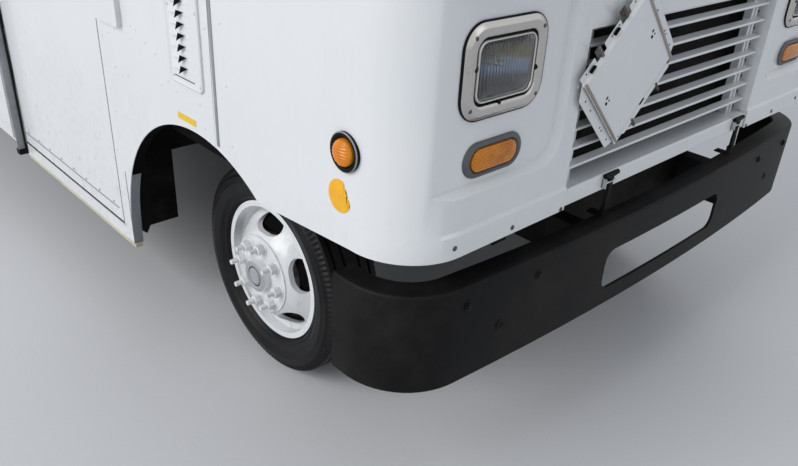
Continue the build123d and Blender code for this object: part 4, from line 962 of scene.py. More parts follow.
# Tyres: ribbed sidewall, sipes round both shoulders, four grooves in the tread. The rows are half a section,
# from the bead to the middle, as half width, radius and whether sipes cut it
tyreLook = {"segments": 256, "sipeEvery": 2, "sipeDepth": 0.0038, "rows": (
    (0.0775, 0.2480, 0), (0.0775, 0.2625, 0), (0.0830, 0.2680, 0), (0.0905, 0.2715, 0), (0.0950, 0.2765, 0),
    (0.0945, 0.2820, 0), (0.0985, 0.2890, 0), (0.1045, 0.2985, 0), (0.1058, 0.3000, 0), (0.1062, 0.3030, 0),
    (0.1085, 0.3090, 0), (0.1112, 0.3190, 0), (0.1124, 0.3270, 0), (0.1130, 0.3290, 0), (0.1130, 0.3330, 0),
    (0.1122, 0.3345, 0), (0.1112, 0.3420, 0), (0.1090, 0.3510, 0), (0.1088, 0.3535, 0), (0.1066, 0.3550, 0),
    (0.1045, 0.3610, 1), (0.1020, 0.3670, 1), (0.0990, 0.3740, 1), (0.0955, 0.3800, 1), (0.0915, 0.3842, 1),
    (0.0870, 0.3862, 0), (0.0720, 0.3872, 0), (0.0695, 0.3872, 0), (0.0680, 0.3765, 0), (0.0610, 0.3765, 0),
    (0.0595, 0.3882, 0), (0.0330, 0.3892, 0), (0.0315, 0.3780, 0), (0.0245, 0.3780, 0), (0.0230, 0.3895, 0),
    (0.0, 0.3900, 0))}


def makeTyre(name, node, centre):
    look = tyreLook
    half = list(look["rows"])
    rings = []
    for x, radius, sipe in half + [(-x, radius, sipe) for x, radius, sipe in half[-2::-1]]:
        ring = []
        for step, turn in enumerate(turnsOf(look["segments"])):
            cut = sipe and step % look["sipeEvery"] == 0
            inward = look["sipeDepth"] if cut else 0.0
            across = x - math.copysign(inward * 0.45, x) if cut else x
            ring.append(Vector(centre) + spin("X", across, radius - inward, turn))
        rings.append(ring)
    place(Shape().skin(rings, loop=True), name, "tyre", bodyOf(node), replaces=(node,), sharp=28)


# Hex nuts, hub cap and the dark drum behind the hand holes
wheelLook = {"nuts": 8, "circle": 0.112, "start": 8, "nut": 0.0205, "nutHeight": 0.0285, "stud": 0.0094,
             "studLength": 0.0562, "frontFace": 0.120, "rearFace": 0.012, "twinDish": 0.120,
             "cap": ((0.0285, 0.0586), (0.0305, 0.057), (0.0318, 0.052), (0.0318, 0.040), (0.0300, 0.037),
                     (0.0300, 0.033), (0.0325, 0.030), (0.0342, 0.020), (0.0346, 0.002)),
             "fold": ((-0.002, 0.137), (0.0016, 0.138), (0.0024, 0.141), (0.0012, 0.1445), (-0.003, 0.146)),
             "drum": ((0.006, 0.2175), (0.022, 0.2135), (0.066, 0.172), (0.062, 0.150), (0.054, 0.150),
                      (0.014, 0.205), (0.000, 0.2175))}


def makeWheelParts(name, node, centre, side, face):
    look = wheelLook
    body = bodyOf(node)
    outside = Vector((side, 0, 0))
    nuts, studs = Shape(), Shape()
    for number in range(look["nuts"]):
        turn = math.radians(look["start"] + 360 * number / look["nuts"])
        spot = Vector(centre) + outside * face + spin("X", 0, look["circle"], turn)
        nuts.head(spot - outside * 0.001, outside, look["nut"] * 1.22, 0.0045, 20, ((1, 0), (1, 0.6), (0.9, 1)))
        nuts.head(spot, outside, look["nut"], look["nutHeight"], 6, ((1, 0), (1, 0.86), (0.85, 1)))
        studs.head(spot + outside * 0.02, outside, look["stud"], look["studLength"] - 0.02, 12,
                   ((1, 0), (1, 0.88), (0.78, 1)))
    place(nuts, name + "Nuts", "wheelWhite", body, bevel=0.0009)
    place(studs, name + "Studs", "studWhite", body)
    place(Shape().disc(look["cap"], centre, side, 48, False, face), name + "HubCap", "hubGrey", body)
    place(Shape().disc(look["fold"], centre, side, 64, True, face), name + "DiscFold", "wheelWhite", body)
    place(Shape().disc(look["drum"], centre, side, 64), name + "Drum", "darkGap", body)


for side in (-1, 1):
    tag = sideName(side)
    word = tag.lower()
    frontCentre = (side * frontWheelX, axleY, wheelZ)
    rearCentre = (side * frontWheelX, rearAxleY, wheelZ)
    makeTyre("tyreFront" + tag, "tyre_front_" + word, frontCentre)
    for twin, offset in (("Outer", wheelLook["twinDish"]), ("Inner", -wheelLook["twinDish"])):
        twinCentre = (side * (frontWheelX + offset), rearAxleY, wheelZ)
        makeTyre("tyreRear" + twin + tag, "tyres_rear_" + word, twinCentre)
    makeWheelParts("wheelFront" + tag, "wheel_front_" + word, frontCentre, side, wheelLook["frontFace"])
    makeWheelParts("wheelRear" + tag, "wheel_rear_" + word, rearCentre, side, wheelLook["rearFace"])
print("wheels made")


# Rivets and screws that show, as (lengthwise from the axle, height) on the side walls
rivetLook = {"cab": (0.0058, 0.0022), "door": (0.0045, 0.0018), "band": (0.0072, 0.0030),
             "edge": (0.0055, 0.0018), "capRivets": ((-0.163, 1.33), (-0.176, 1.16), (-0.190, 0.985)),
             "bandScrews": ((1.009, 0.917), (0.790, 0.904), (0.576, 0.892)),
             "seamY": -0.080, "seamRivets": (1.30, 2.70, 8), "sillY": (0.745, 1.645, 9), "sillZ": 0.440,
             "grilleEdge": 0.5795, "grilleEdgeZ": (0.985, 1.115, 1.245, 1.375),
             "scatter": ((0.300, 1.175), (0.360, 1.205), (0.395, 1.210), (0.455, 1.030), (0.235, 1.155),
                         (0.215, 1.060), (0.430, 1.290), (0.555, 1.035), (0.600, 0.862), (0.628, 1.130),
                         (0.170, 1.085), (0.120, 1.065), (-0.020, 1.060), (0.405, 1.165), (0.520, 1.175),
                         (0.575, 1.150), (-0.040, 0.995), (0.625, 0.520), (0.610, 0.560), (0.640, 0.700))}


def makeRivets(side):
    look = rivetLook
    tag = sideName(side)
    spots = look["capRivets"] + look["scatter"] + tuple((look["seamY"], z) for z in spread(*look["seamRivets"]))
    placeHeads("cabRivets" + tag, "capWhite", [(side * capHalf, along(y), z) for y, z in spots], (side, 0, 0),
               look["cab"])
    sill = [(side * (capHalf - 0.002), along(y), look["sillZ"]) for y in spread(*look["sillY"])]
    placeHeads("doorRivets" + tag, "capWhite", sill, (side, 0, 0), look["door"], "cab_door_" + tag.lower())
    band = [(side * x, noseFront(x) - noseLook["bandProud"], z) for x, z in look["bandScrews"]]
    placeHeads("bandScrews" + tag, "darkScrew", band, ahead, look["band"])
    edge = [(side * look["grilleEdge"], noseY, z) for z in look["grilleEdgeZ"]]
    placeHeads("grilleEdgeScrews" + tag, "capWhite", edge, ahead, look["edge"])


bodyRivetLook = {"front": 1.735, "rear": 5.950, "lines": (2.765, 0.905), "perLine": 35, "inset": 0.04,
                 "posts": (1.775, 2.72, 4.78, 5.91), "perPost": (0.98, 2.70, 15), "archHalf": 0.54,
                 "rail": 0.905, "railSection": ((-0.001, -0.145), (0.006, -0.140), (0.011, -0.115),
                                                (0.006, -0.090), (-0.001, -0.085))}


def makeBodyRivets(side):
    look = bodyRivetLook
    tag = sideName(side)
    wall = side * bodyHalf
    front, rear = along(look["front"]), along(look["rear"])
    spots = []
    for z in look["lines"]:
        spots += [(wall, y, z) for y in spread(front + look["inset"], rear - look["inset"], look["perLine"])
                  if z > 1 or abs(y - rearAxleY) > 0.02]
    for post in look["posts"]:
        spots += [(wall, along(post), z) for z in spread(*look["perPost"])]
    placeHeads("wallRivets" + tag, "bodyWhite", spots, (side, 0, 0), wallRivet)
    section = outward(side, bodyHalf, [(out, look["rail"] + rise) for out, rise in look["railSection"]])
    rail = Shape()
    stretches = ((front + 0.01, rearAxleY - look["archHalf"]), (rearAxleY + look["archHalf"], rear - 0.01))
    for start, end in stretches:
        rail.prism(section, "Y", start, end)
    place(rail, "rubRail" + tag, "aluminium", bevel=0.001)


# Seams and trim along the cab sides
trimLook = {"seam": -0.115, "seamWidth": 0.015, "seamFoot": 0.961, "seamTop": 2.800, "doorRear": 1.735,
            "doorFront": 0.660, "door": (0.700, 1.722), "sillFoot": 0.305, "legY": 0.590, "legTop": 0.628,
            "ridgeRivets": (0.742, 1.666, 8), "floorEdge": (-0.560, 0.600), "arc": 40, "liningDepth": 0.0016,
            "linings": (("archLining", 25, 126, "darkGap"), ("legLining", 0, 25, "greySeal")),
            "lipSection": ((-0.003, 0.4345), (-0.0006, 0.4352), (0.0002, 0.4400), (-0.003, 0.4412)),
            "gutterSection": ((-0.001, 2.606), (0.022, 2.600), (0.025, 2.612), (0.022, 2.618), (0.020, 2.608),
                              (-0.001, 2.612))}


def makeSideTrim(side):
    look = trimLook
    tag = sideName(side)
    door = "cab_door_" + tag.lower()
    half, foot = capHalf, look["sillFoot"]
    front, rear, leg = along(look["doorFront"]), along(look["doorRear"]), along(look["legY"])
    doorStart, doorEnd = [along(end) for end in look["door"]]
    step = bodyHalf - half

    # One block on the wall: how far out it starts and ends, its stretch along the truck and its heights
    def slab(shape, out, stretch, heights):
        return shape.block((side * (half + out[0]), stretch[0], heights[0]),
                           (side * (half + out[1]), stretch[1], heights[1]))

    y = along(look["seam"])
    width = look["seamWidth"] / 2
    # Painted shade: the grey seam strip stands for the shaded front face of the step at the seam
    seam = Shape().prism(outward(side, half, ((-0.0005, y - width), (0.0022, y - width * 0.8), (0.0030, y),
                                              (0.0022, y + width * 0.8), (-0.0005, y + width))),
                         "Z", look["seamFoot"], look["seamTop"])
    place(seam, "capSeam" + tag, "greySeal", bevel=0.0006)
    edge = slab(Shape(), (0.0024, 0.010), (rear - 0.014, rear - 0.0005), (0.330, 2.560))
    place(edge, "doorPostSeal" + tag, "rubber", bevel=0.001)
    # Painted shade: the front face of the step to the body wall is coloured grey for its shade
    corner = slab(Shape(), (0.010, step + 0.002), (rear - 0.004, rear + 0.0005), (0.345, 2.790))
    slab(corner, (step - 0.001, step + 0.0025), (rear - 0.003, rear + 0.034), (0.400, 2.790))
    place(corner, "bodyCorner" + tag, "greySeal", bevel=0.0008)
    place(slab(Shape(), (-0.010, step + 0.001), (rear - 0.010, rear + 0.030), (0.318, 0.344)), "bodyFoot" + tag,
          "rubber", bevel=0.002)
    ridge = slab(Shape(), (-0.001, 0.0003), (doorStart, doorEnd), (0.4300, 0.4330))
    ridge.heads([(side * (half + 0.0002), along(spot), 0.4460) for spot in spread(*look["ridgeRivets"])],
                (side, 0, 0), 0.0042, 0.0016, 10)
    place(ridge, "doorRidge" + tag, "greySeal", door)
    place(slab(Shape(), (-0.001, 0.0004), (front + 0.0029, front + 0.0061), (foot + 0.058, 2.545)),
          "doorFrontLine" + tag, "greySeal")
    place(slab(Shape(), (-0.030, -0.0035), (front + 0.002, rear - 0.002), (0.3722, 0.3818)), "sillSlot" + tag,
          "darkGap")
    lip = Shape().prism(outward(side, half, look["lipSection"]), "Y", doorStart, doorEnd)
    place(lip, "doorLip" + tag, "capWhite", door)
    place(slab(Shape(), (-0.028, 0.0015), (front - 0.080, rear - 0.024), (foot - 0.001, foot + 0.014)),
          "sillStrip" + tag, "creamSill", bevel=0.002)
    makeArchFlap(side, leg)
    beam = Shape().block((side * 0.970, leg + 0.024, 0.905), (side * 1.150, leg + 0.060, 0.945))
    place(beam, "flapBar" + tag, "chassisBlack", bevel=0.002)
    # Painted shade: the arch leg's front-facing flange is coloured grey for its shade
    place(slab(Shape(), (-0.036, 0.0016), (leg - 0.0012, leg + 0.0012), (foot + 0.012, look["legTop"])),
          "archLegFlange" + tag, "greySeal", bevel=0.0006)
    # Painted shade: a black ribbon on the cut edge of the arch, where the inside of the arch lies in shade, and
    # a grey one where the leg begins, for its shaded front face
    inner, outer = side * (half - 0.0375), side * (half - 0.0022)
    radius = reshapeLook["shownArch"] - 0.0006
    deep = radius - look["liningDepth"]
    middle = along(reshapeLook["archBack"])
    for name, first, last, finish in look["linings"]:
        rings = [[(x, middle + r * math.cos(turn), wheelZ + r * math.sin(turn))
                  for x, r in ((inner, radius), (outer, radius), (outer, deep), (inner, deep))]
                 for turn in spread(math.radians(first), math.radians(last), look["arc"] + 1)]
        place(Shape().skin(rings), name + tag, finish)
    place(slab(Shape(), (-0.0400, -0.0415), [along(end) for end in look["floorEdge"]], (0.896, 0.959)),
          "floorEdge" + tag, "darkGap")
    gutter = Shape().prism(outward(side, half, look["gutterSection"]), "Y", front - 0.09, rear - 0.004)
    place(gutter, "doorGutter" + tag, "capWhite", bevel=0.0008)


# Rubber flap behind the front wheel, cut to a tongue below and bent a little
flapLook = {"inner": 1.086, "outer": 1.144, "tip": 1.1155, "foot": 0.334, "top": 0.930, "back": 0.018,
            "thick": 0.006, "columns": 9, "rows": 13, "slant": 1.6, "wave": 0.004, "curl": 0.008}


def makeArchFlap(side, leg):
    look = flapLook
    columns = spread(look["inner"], look["outer"], look["columns"])
    rows = spread(look["foot"], look["top"], look["rows"])
    flap = Shape()
    for back, flip in ((0.0, False), (look["thick"], True)):
        for low, high in zip(rows, rows[1:]):
            for left, right in zip(columns, columns[1:]):
                corners = []
                for x, z in ((left, low), (right, low), (right, high), (left, high)):
                    slope = max(0.0, look["tip"] - x) * look["slant"] + max(0.0, x - look["tip"])
                    lift = slope * (look["top"] - z) / (look["top"] - look["foot"])
                    bend = look["wave"] * math.sin(x * 42) + look["curl"] * (0.9 - z) ** 2
                    corners.append(flap.grid.verts.new((side * x, leg + look["back"] + back + bend, z + lift)))
                flap.grid.faces.new(corners[::-1] if flip else corners)
    place(flap, "archFlap" + sideName(side), "rubber")


# Painted shade: dark wedges and triangles at the rear ends of the louvres; the dark drain slot and the blank
# yellow label on the kerb side
louvreLook = {"front": -0.057, "rear": 0.135, "middleZ": 1.330, "first": 1.152, "pitch": 0.0325, "count": 12,
              "proud": 0.005, "depth": 0.011, "height": 0.019, "outer": (0.192, 0.460, 0.022),
              "inner": (0.172, 0.440, 0.014), "corners": ((0.054, 0.0096, 0.0120), (0.054, -0.0129, 0.0185),
                                                          (0.018, 0.0086, 0.0105)),
              "frameSteps": ((0, 0.0002), (0.08, 0.0060), (0.4, 0.0078), (0.75, 0.0074), (1, 0.0050)),
              "screwY": (-0.040, 0.118), "screwZ": (1.118, 1.330, 1.542),
              "label": (0.112, 0.021, 0.002), "labelY": 0.066, "labelZ": 0.991}


def makeLouvreShadeAndFrame(side):
    look = louvreLook
    tag = sideName(side)
    skin = capHalf + look["proud"]
    mouth = along(look["rear"] - 0.035)
    # Painted shade at each louvre's rear end, and the real drain slot
    shadeAndSlot = Shape()
    for number in range(look["count"]):
        z = look["first"] + number * look["pitch"]
        outline = [(0.0004, z + 0.0018), (look["depth"] - 0.0028, z + 0.0022),
                   (0.0004, z + look["height"] - 0.0045)]
        shadeAndSlot.prism(outward(side, skin, outline), "Y", mouth - 0.004, mouth - 0.0012)
        shadeAndSlot.skin([[(side * (capHalf + proud + lift), along(y), z + height)
                    for y, height, proud in look["corners"]] for lift in (-0.0006, 0.0002)])
    shadeAndSlot.block((side * (skin - 0.001), along(-0.012), 1.1215), (side * (skin + 0.0003), along(0.108), 1.1245))
    place(shadeAndSlot, "louvreMouths" + tag, "darkGap")
    spot = onSide(along((look["rear"] + look["front"]) / 2), look["middleZ"], capHalf, side)
    rim = Shape().steps(spot, look["outer"], look["inner"], look["frameSteps"], loop=False, caps=False)
    place(rim, "louvreFrame" + tag, "capWhite", sharp=60)
    screws = [(side * (skin + 0.001), along(y), z) for z in look["screwZ"] for y in look["screwY"]]
    placeHeads("louvreScrews" + tag, "capWhite", screws, (side, 0, 0), (0.0042, 0.0018))


def makeLabel():
    spot = onSide(along(louvreLook["labelY"]), louvreLook["labelZ"], capHalf)
    face = rounded(*louvreLook["label"], 3)
    place(Shape().layers([(face, 0.0001), (face, 0.0009)], spot), "blankLabel", "labelYellow")


for side in (-1, 1):
    makeRivets(side)
    makeBodyRivets(side)
    makeSideTrim(side)
    makeLouvreShadeAndFrame(side)
makeLabel()
print("side trim made")


# Front bumper: bolts and plugs in its bowed face
bumperLook = {"bolts": (0.690, 0.960), "boltZ": 0.740, "plugX": 0.828, "plugZ": 0.628, "bow": 0.058,
              "washer": ((1, 0), (1, 0.6), (0.9, 1)),
              "plug": ((1, 0), (1, 0.5), (0.85, 1), (0.5, 1), (0.44, 0.3), (0.1, 0.3))}


def bumperFront(x):      # the bowed face, at a place across
    half = capHalf + 0.010
    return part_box("front_bumper")[0][1] + bumperLook["bow"] * (x / half) ** 2


def makeBumperBolts():
    look = bumperLook
    bolts, plugs = Shape(), Shape()
    for x in look["bolts"]:
        for side in (-1, 1):
            y = bumperFront(x)
            bolts.head((side * x, y + 0.0005, look["boltZ"]), ahead, 0.0150, 0.0030, 18, look["washer"])
            bolts.bolt((side * x, y - 0.0015, look["boltZ"]), ahead, 0.0105, 0.0065)
    place(bolts, "bumperBolts", "blackSteel")
    for side in (-1, 1):
        plugs.head((side * look["plugX"], bumperFront(look["plugX"]) + 0.0005, look["plugZ"]), ahead,
                   0.0175, 0.0030, 20, look["plug"])
    place(plugs, "bumperPlugs", "rubber")


makeBumperBolts()
print("bumper trim made")


# Glass rubbers: windscreen, quarter windows and cab doors
screenLook = {"slope": 0.24, "foot": -0.560, "level": 1.8, "x": 0.530, "z": 2.270,
              "size": (0.970, 0.800, 0.060)}
rubberLook = {"out": 0.030, "in": 0.022, "leastRadius": 0.004,
              "steps": ((0.06, 0.0050), (0.25, 0.0078), (0.42, 0.0060), (0.55, 0.0078), (0.8, 0.0066),
                        (1, 0.0020)), "quarter": (0.580, 0.680, 0.050), "door": (0.675, 0.880, 0.060)}


def screenSpot(x, z):
    slope = screenLook["slope"]
    lean = math.atan(slope)
    foot = along(screenLook["foot"])
    return lambda u, w, proud: (x + u, foot + slope * (z + w - screenLook["level"]) - proud * math.cos(lean),
                                z + w + proud * math.sin(lean))


def makeRubber(name, spot, size, body="chassis", depth=0.010, rise=1.0):
    look = rubberLook
    width, height, radius = size
    outer = (width + look["out"], height + look["out"], radius + look["out"] / 2)
    inner = (width - look["in"], height - look["in"], max(radius - look["in"] / 2, look["leastRadius"]))
    rows = [(0, 0.0002)] + [(share, proud * rise) for share, proud in look["steps"]]
    rows += [(1, -depth), (0.62, -depth), (0.62, 0.0002)]
    place(Shape().steps(spot, outer, inner, rows), name, "rubber", body)


for side in (-1, 1):
    tag = sideName(side)
    makeRubber("screenRubber" + tag, screenSpot(side * screenLook["x"], screenLook["z"]), screenLook["size"])
    makeRubber("quarterRubber" + tag, onSide(along(0.280), 2.140, capHalf, side), rubberLook["quarter"],
               depth=0.012)
    makeRubber("doorRubber" + tag, onSide(along(1.1975), 1.940, capHalf - 0.002, side), rubberLook["door"],
               "cab_door_" + tag.lower(), 0.013, 0.55)


# Wipers rest along the foot of the screen
wiperLook = {"pivots": (-0.72, 0.34), "pivotZ": 1.845, "reach": 0.40, "blade": 0.46, "lean": (0, -1, 0.24)}


def makeWipers():
    look = wiperLook
    reach = look["reach"]
    arms, blades = Shape(), Shape()
    for x in look["pivots"]:
        foot = screenSpot(x, look["pivotZ"])
        arms.head(foot(0, 0, 0.0), look["lean"], 0.020, 0.022)
        arms.tube([foot(0, 0, 0.020), foot(0.10, 0.020, 0.030), foot(reach - 0.10, 0.062, 0.026),
                   foot(reach, 0.075, 0.022)], 0.0048, 8)
        start = Vector(foot(reach - look["blade"] / 2, 0.052, 0.014))
        end = Vector(foot(reach + look["blade"] / 2, 0.098, 0.014))
        blades.tube([start, end], 0.0055, 8)
        clips = [start.lerp(end, share) + Vector((0, 0.002, 0)) for share in (0.2, 0.5, 0.8)]
        blades.heads(clips, look["lean"], 0.009, 0.010)
    place(arms, "wiperArms", "blackSteel")
    place(blades, "wiperBlades", "rubber")


makeWipers()
print("windows sealed")


# Mirror glass faces back along the truck
mirrorLook = {"inset": 0.075, "y": -0.175, "z": 2.090, "size": (0.128, 0.356, 0.026),
              "face": (0.122, 0.350, 0.024), "outer": (0.149, 0.379, 0.031),
              "rimSteps": ((0, -0.004), (0, 0.001), (0.5, 0.0042), (1, 0.0020), (1, -0.004))}


def makeMirrorGlass(side):
    look = mirrorLook
    x = side * (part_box("mirrors")[1][0] - look["inset"])
    y = along(look["y"])

    def spot(u, w, proud):
        return (x + u, y + proud, look["z"] + w)

    glass = Shape().steps(spot, look["size"], look["face"], ((0, -0.002), (0, 0.0012), (1, 0.0022)), loop=False)
    place(glass, "mirrorGlass" + sideName(side), "mirrorGlass")
    rim = Shape().steps(spot, look["outer"], look["size"], look["rimSteps"])
    place(rim, "mirrorRim" + sideName(side), "rubber")


for side in (-1, 1):
    makeMirrorGlass(side)
print("mirrors glazed")


# Rear end: door seals, handle with lock rods, lamp lenses, step tread
rearLook = {"doorHalf": 0.705, "doorBottom": 0.970, "doorTop": 2.685, "rodX": -0.052,
            "guides": (1.33, 1.62, 2.05), "handle": (-0.170, 1.475), "handlePlate": (0.190, 0.110),
            "lampX": 1.060, "lamps": ((0.690, "redLens"), (0.800, "redLens")), "lamp": (0.140, 0.084, 0.020),
            "lampLens": (0.120, 0.064, 0.014), "small": (0.006, 0.003, 0.001),
            "gasketSteps": ((0, 0.0002), (0, 0.009), (0.5, 0.0125), (1, 0.010), (1, 0.0002)),
            "lensSteps": ((0, 0.0005), (0, 0.0150), (0.06, 0.0178), (0.4, 0.0194), (1, 0.0199)),
            "guideSection": ((-0.014, 0.003), (-0.014, 0.020), (-0.006, 0.027), (0.006, 0.027), (0.014, 0.020),
                             (0.014, 0.003)),
            "rivetX": (1.150, 0.745), "rivetZ": (1.00, 2.70, 17), "stepTop": 0.550}
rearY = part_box("rear_frame")[1][1]
plateSteps = ((0, 0.0002), (0, 0.0030), (1, 0.0040))     # a screwed plate with its edge broken


def onRear(x, z):
    return lambda u, w, proud: (x + u, rearY + proud, z + w)


def makePlate(shape, spot, width, height):
    face = (width - 0.006, height - 0.006, 0.010)
    return shape.steps(spot, (width, height, 0.012), face, plateSteps, loop=False)


def makeTailLamp(x, z, finish, name):
    look = rearLook
    spot = onRear(x, z)
    gasket = Shape().steps(spot, look["lamp"], look["lampLens"], look["gasketSteps"])
    place(gasket, name + "Gasket", "rubber", replaces=("tail_lamps",))
    glow = Shape().steps(spot, look["lampLens"], look["small"], look["lensSteps"], loop=False)
    place(glow, name + "Lens", finish, replaces=("tail_lamps",))
    placeHeads(name + "Screws", "steel", [spot(u, 0, 0.0172) for u in (-0.052, 0.052)], aft, (0.0042, 0.0022))


def makeRearDoor(side):
    look = rearLook
    tag = sideName(side)
    body = bodyOf("rear_door_" + tag.lower())
    bottom, top = look["doorBottom"], look["doorTop"]
    middle = side * (look["doorHalf"] + 0.003) / 2
    width, height = look["doorHalf"] - 0.009, top - bottom - 0.004
    seal = Shape().frame(onRear(middle, (top + bottom) / 2), (width, height, 0.012),
                         (width - 0.022, height - 0.022, 0.006), 0.0020, 3)
    place(seal, "rearDoorSeal" + tag, "rubber", body)
    reach = width / 2 - 0.035
    rows = spread(bottom + 0.06, bottom + height - 0.06, 15)
    rivets = [(middle + u, rearY + 0.0001, z) for z in rows for u in (-reach, reach)]
    placeHeads("rearDoorRivets" + tag, "bodyWhite", rivets, aft, panelRivet, body)
    straps = Shape()
    for z in spread(bottom + 0.150, top - 0.200, 4):
        for u in (0.030, 0.058):
            for w in (-0.020, 0.020):
                straps.bolt((side * (look["doorHalf"] - u), rearY + 0.006, z + w), aft, 0.0062, 0.0040)
    place(straps, "rearHingeBolts" + tag, "steel", body)


def makeLock():
    look = rearLook
    body = bodyOf("rear_door_right")
    x, bottom, top = look["rodX"], look["doorBottom"], look["doorTop"]
    rod = Shape().tube([(x, rearY + 0.016, z) for z in (bottom + 0.012, top - 0.012)], 0.0085)
    place(rod, "lockRod", "steel", body)
    guides = Shape()
    for z in (bottom + 0.06, *look["guides"], top - 0.06):
        guides.block((x - 0.028, rearY + 0.0002, z - 0.018), (x + 0.028, rearY + 0.004, z + 0.018))
        guides.skin([[(x + u, rearY + v, z + w) for u, v in look["guideSection"]] for w in (-0.012, 0.012)])
    place(guides, "lockGuides", "steel", body, bevel=0.001)
    at = onRear(*look["handle"])
    place(makePlate(Shape(), at, *look["handlePlate"]), "handlePlate", "steel", body)
    path = ((0.118, 0.016), (0.080, 0.020), (-0.020, 0.024), (-0.082, 0.024))
    handle = Shape().tube([at(u, 0, proud) for u, proud in path], 0.0085)
    handle.head(at(0.070, 0, 0.003), aft, 0.019, 0.020, 20)
    place(handle, "rearHandle", "steel", body)


def makeRear():
    look = rearLook
    for side in (-1, 1):
        for number, (z, finish) in enumerate(look["lamps"]):
            makeTailLamp(side * look["lampX"], z, finish, "tailLamp" + sideName(side) + str(number + 1))
        makeRearDoor(side)
        if side < 0:
            makeLock()
    low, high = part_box("rear_bumper")
    top = look["stepTop"]
    tread = Shape().block((low[0] + 0.06, high[1] - 0.180, top),
                          (high[0] - 0.06, high[1] - 0.014, top + 0.0025))
    place(tread, "stepTread", "checkerPlate", bevel=0.001)
    rivets = [(side * x, rearY, z) for side in (-1, 1) for z in spread(*look["rivetZ"]) for x in look["rivetX"]]
    placeHeads("rearRivets", "bodyWhite", rivets, aft, wallRivet)


makeRear()
print("rear fitted")


# Serving side: hatch seal, frame and handles, shelf edge, panel seams
servingLook = {"front": 2.850, "rear": 4.650, "bottom": 1.780, "top": 2.620, "handles": (3.35, 4.15),
               "handle": (0.110, 0.075), "seams": ((2.300, 0.640), (5.200, 0.640)), "seamTop": 2.765,
               "lapHalf": 0.020, "lapEdges": (-0.0215, 0.0205), "lapEdge": 0.0012}


def makeServingSide():
    look = servingLook
    front, rear, bottom, top = along(look["front"]), along(look["rear"]), look["bottom"], look["top"]
    length, height, middle = rear - front, top - bottom, (front + rear) / 2
    body = bodyOf("serving_hatch")
    outer = (length - 0.014, height - 0.040, 0.010)
    seal = Shape().frame(onSide(middle, (bottom + top) / 2 - 0.012, bodyHalf), outer,
                         (outer[0] - 0.020, outer[1] - 0.020, 0.005), 0.0020, 3)
    place(seal, "hatchSeal", "rubber", body)
    plates, grips = Shape(), Shape()
    for y in look["handles"]:
        at = onSide(along(y), bottom + 0.085, bodyHalf)
        makePlate(plates, at, *look["handle"])
        grips.tube([at(0, 0, 0.003), at(0, 0, 0.026)], 0.0075)
        grips.tube([at(-0.040, 0, 0.026), at(0.040, 0, 0.026)], 0.0075)
    place(plates, "hatchHandlePlates", "steel", body)
    place(grips, "hatchHandles", "steel", body)
    rivets = [(-bodyHalf, y, z) for y in spread(front + 0.03, rear - 0.03, 19)
              for z in (top - 0.060, bottom + 0.028)]
    placeHeads("hatchRivets", "bodyWhite", rivets, (-1, 0, 0), panelRivet, body)
    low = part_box("serving_shelf")[0]
    ends = (front + 0.030, rear - 0.030)
    edge = Shape().tube([(low[0] + 0.004, y, low[2] + 0.010) for y in ends], 0.0036, 10)
    place(edge, "shelfEdge", "steel", bodyOf("serving_shelf"))
    frame = Shape().frame(onSide(middle, (bottom + top) / 2, bodyHalf), (length + 0.060, height + 0.060, 0.020),
                          (length + 0.004, height + 0.010, 0.006), 0.0024, 4)
    place(frame, "hatchFrame", "bodyWhite", bevel=0.0006)


def makePanelSeams():
    look = servingLook
    top = look["seamTop"]
    for side in (-1, 1):
        tag = sideName(side)
        lines, laps, rivets = Shape(), Shape(), Shape()
        inside, lap, line = [side * (bodyHalf + out) for out in (-0.001, 0.0012, 0.0018)]
        for seam, foot in look["seams"]:
            y = along(seam)
            laps.block((inside, y - look["lapHalf"], foot), (lap, y + look["lapHalf"], top))
            for edge in look["lapEdges"]:
                lines.block((inside, y + edge, foot), (line, y + edge + look["lapEdge"], top))
            rivets.heads([(side * (bodyHalf + 0.0011), y, z) for z in spread(foot + 0.04, top - 0.04, 29)],
                         (side, 0, 0), *panelRivet)
        place(laps, "panelLaps" + tag, "bodyWhite", bevel=0.0005)
        place(lines, "panelLines" + tag, "greySeal")
        place(rivets, "panelRivets" + tag, "bodyWhite")


# Roof: gutters along the eaves, lapped seams, and the vent's throat, vanes and bolts
roofLook = {"eaves": 2.800, "top": 3.050, "gutterFront": 1.760, "seams": (1.735, 2.90, 4.95),
            "seamInset": 0.100,
            "gutterSection": ((-0.001, -0.030), (0.016, -0.026), (0.018, -0.012), (0.014, -0.012),
                              (0.012, -0.020), (-0.001, -0.022)),
            "seamSection": ((-0.016, -0.0005), (-0.012, 0.0018), (0.012, 0.0018), (0.016, -0.0005)),
            "throat": ((0.020, 0.2115), (0.020, 0.2135), (0.100, 0.2135), (0.100, 0.2115)),
            "vanes": 28, "vane": ((0.210, -0.0015), (0.236, 0.0085), (0.236, 0.0115), (0.210, 0.0015)),
            "vaneZ": (0.012, 0.106), "bolts": 12, "boltCircle": 0.274, "boltZ": 0.1905}


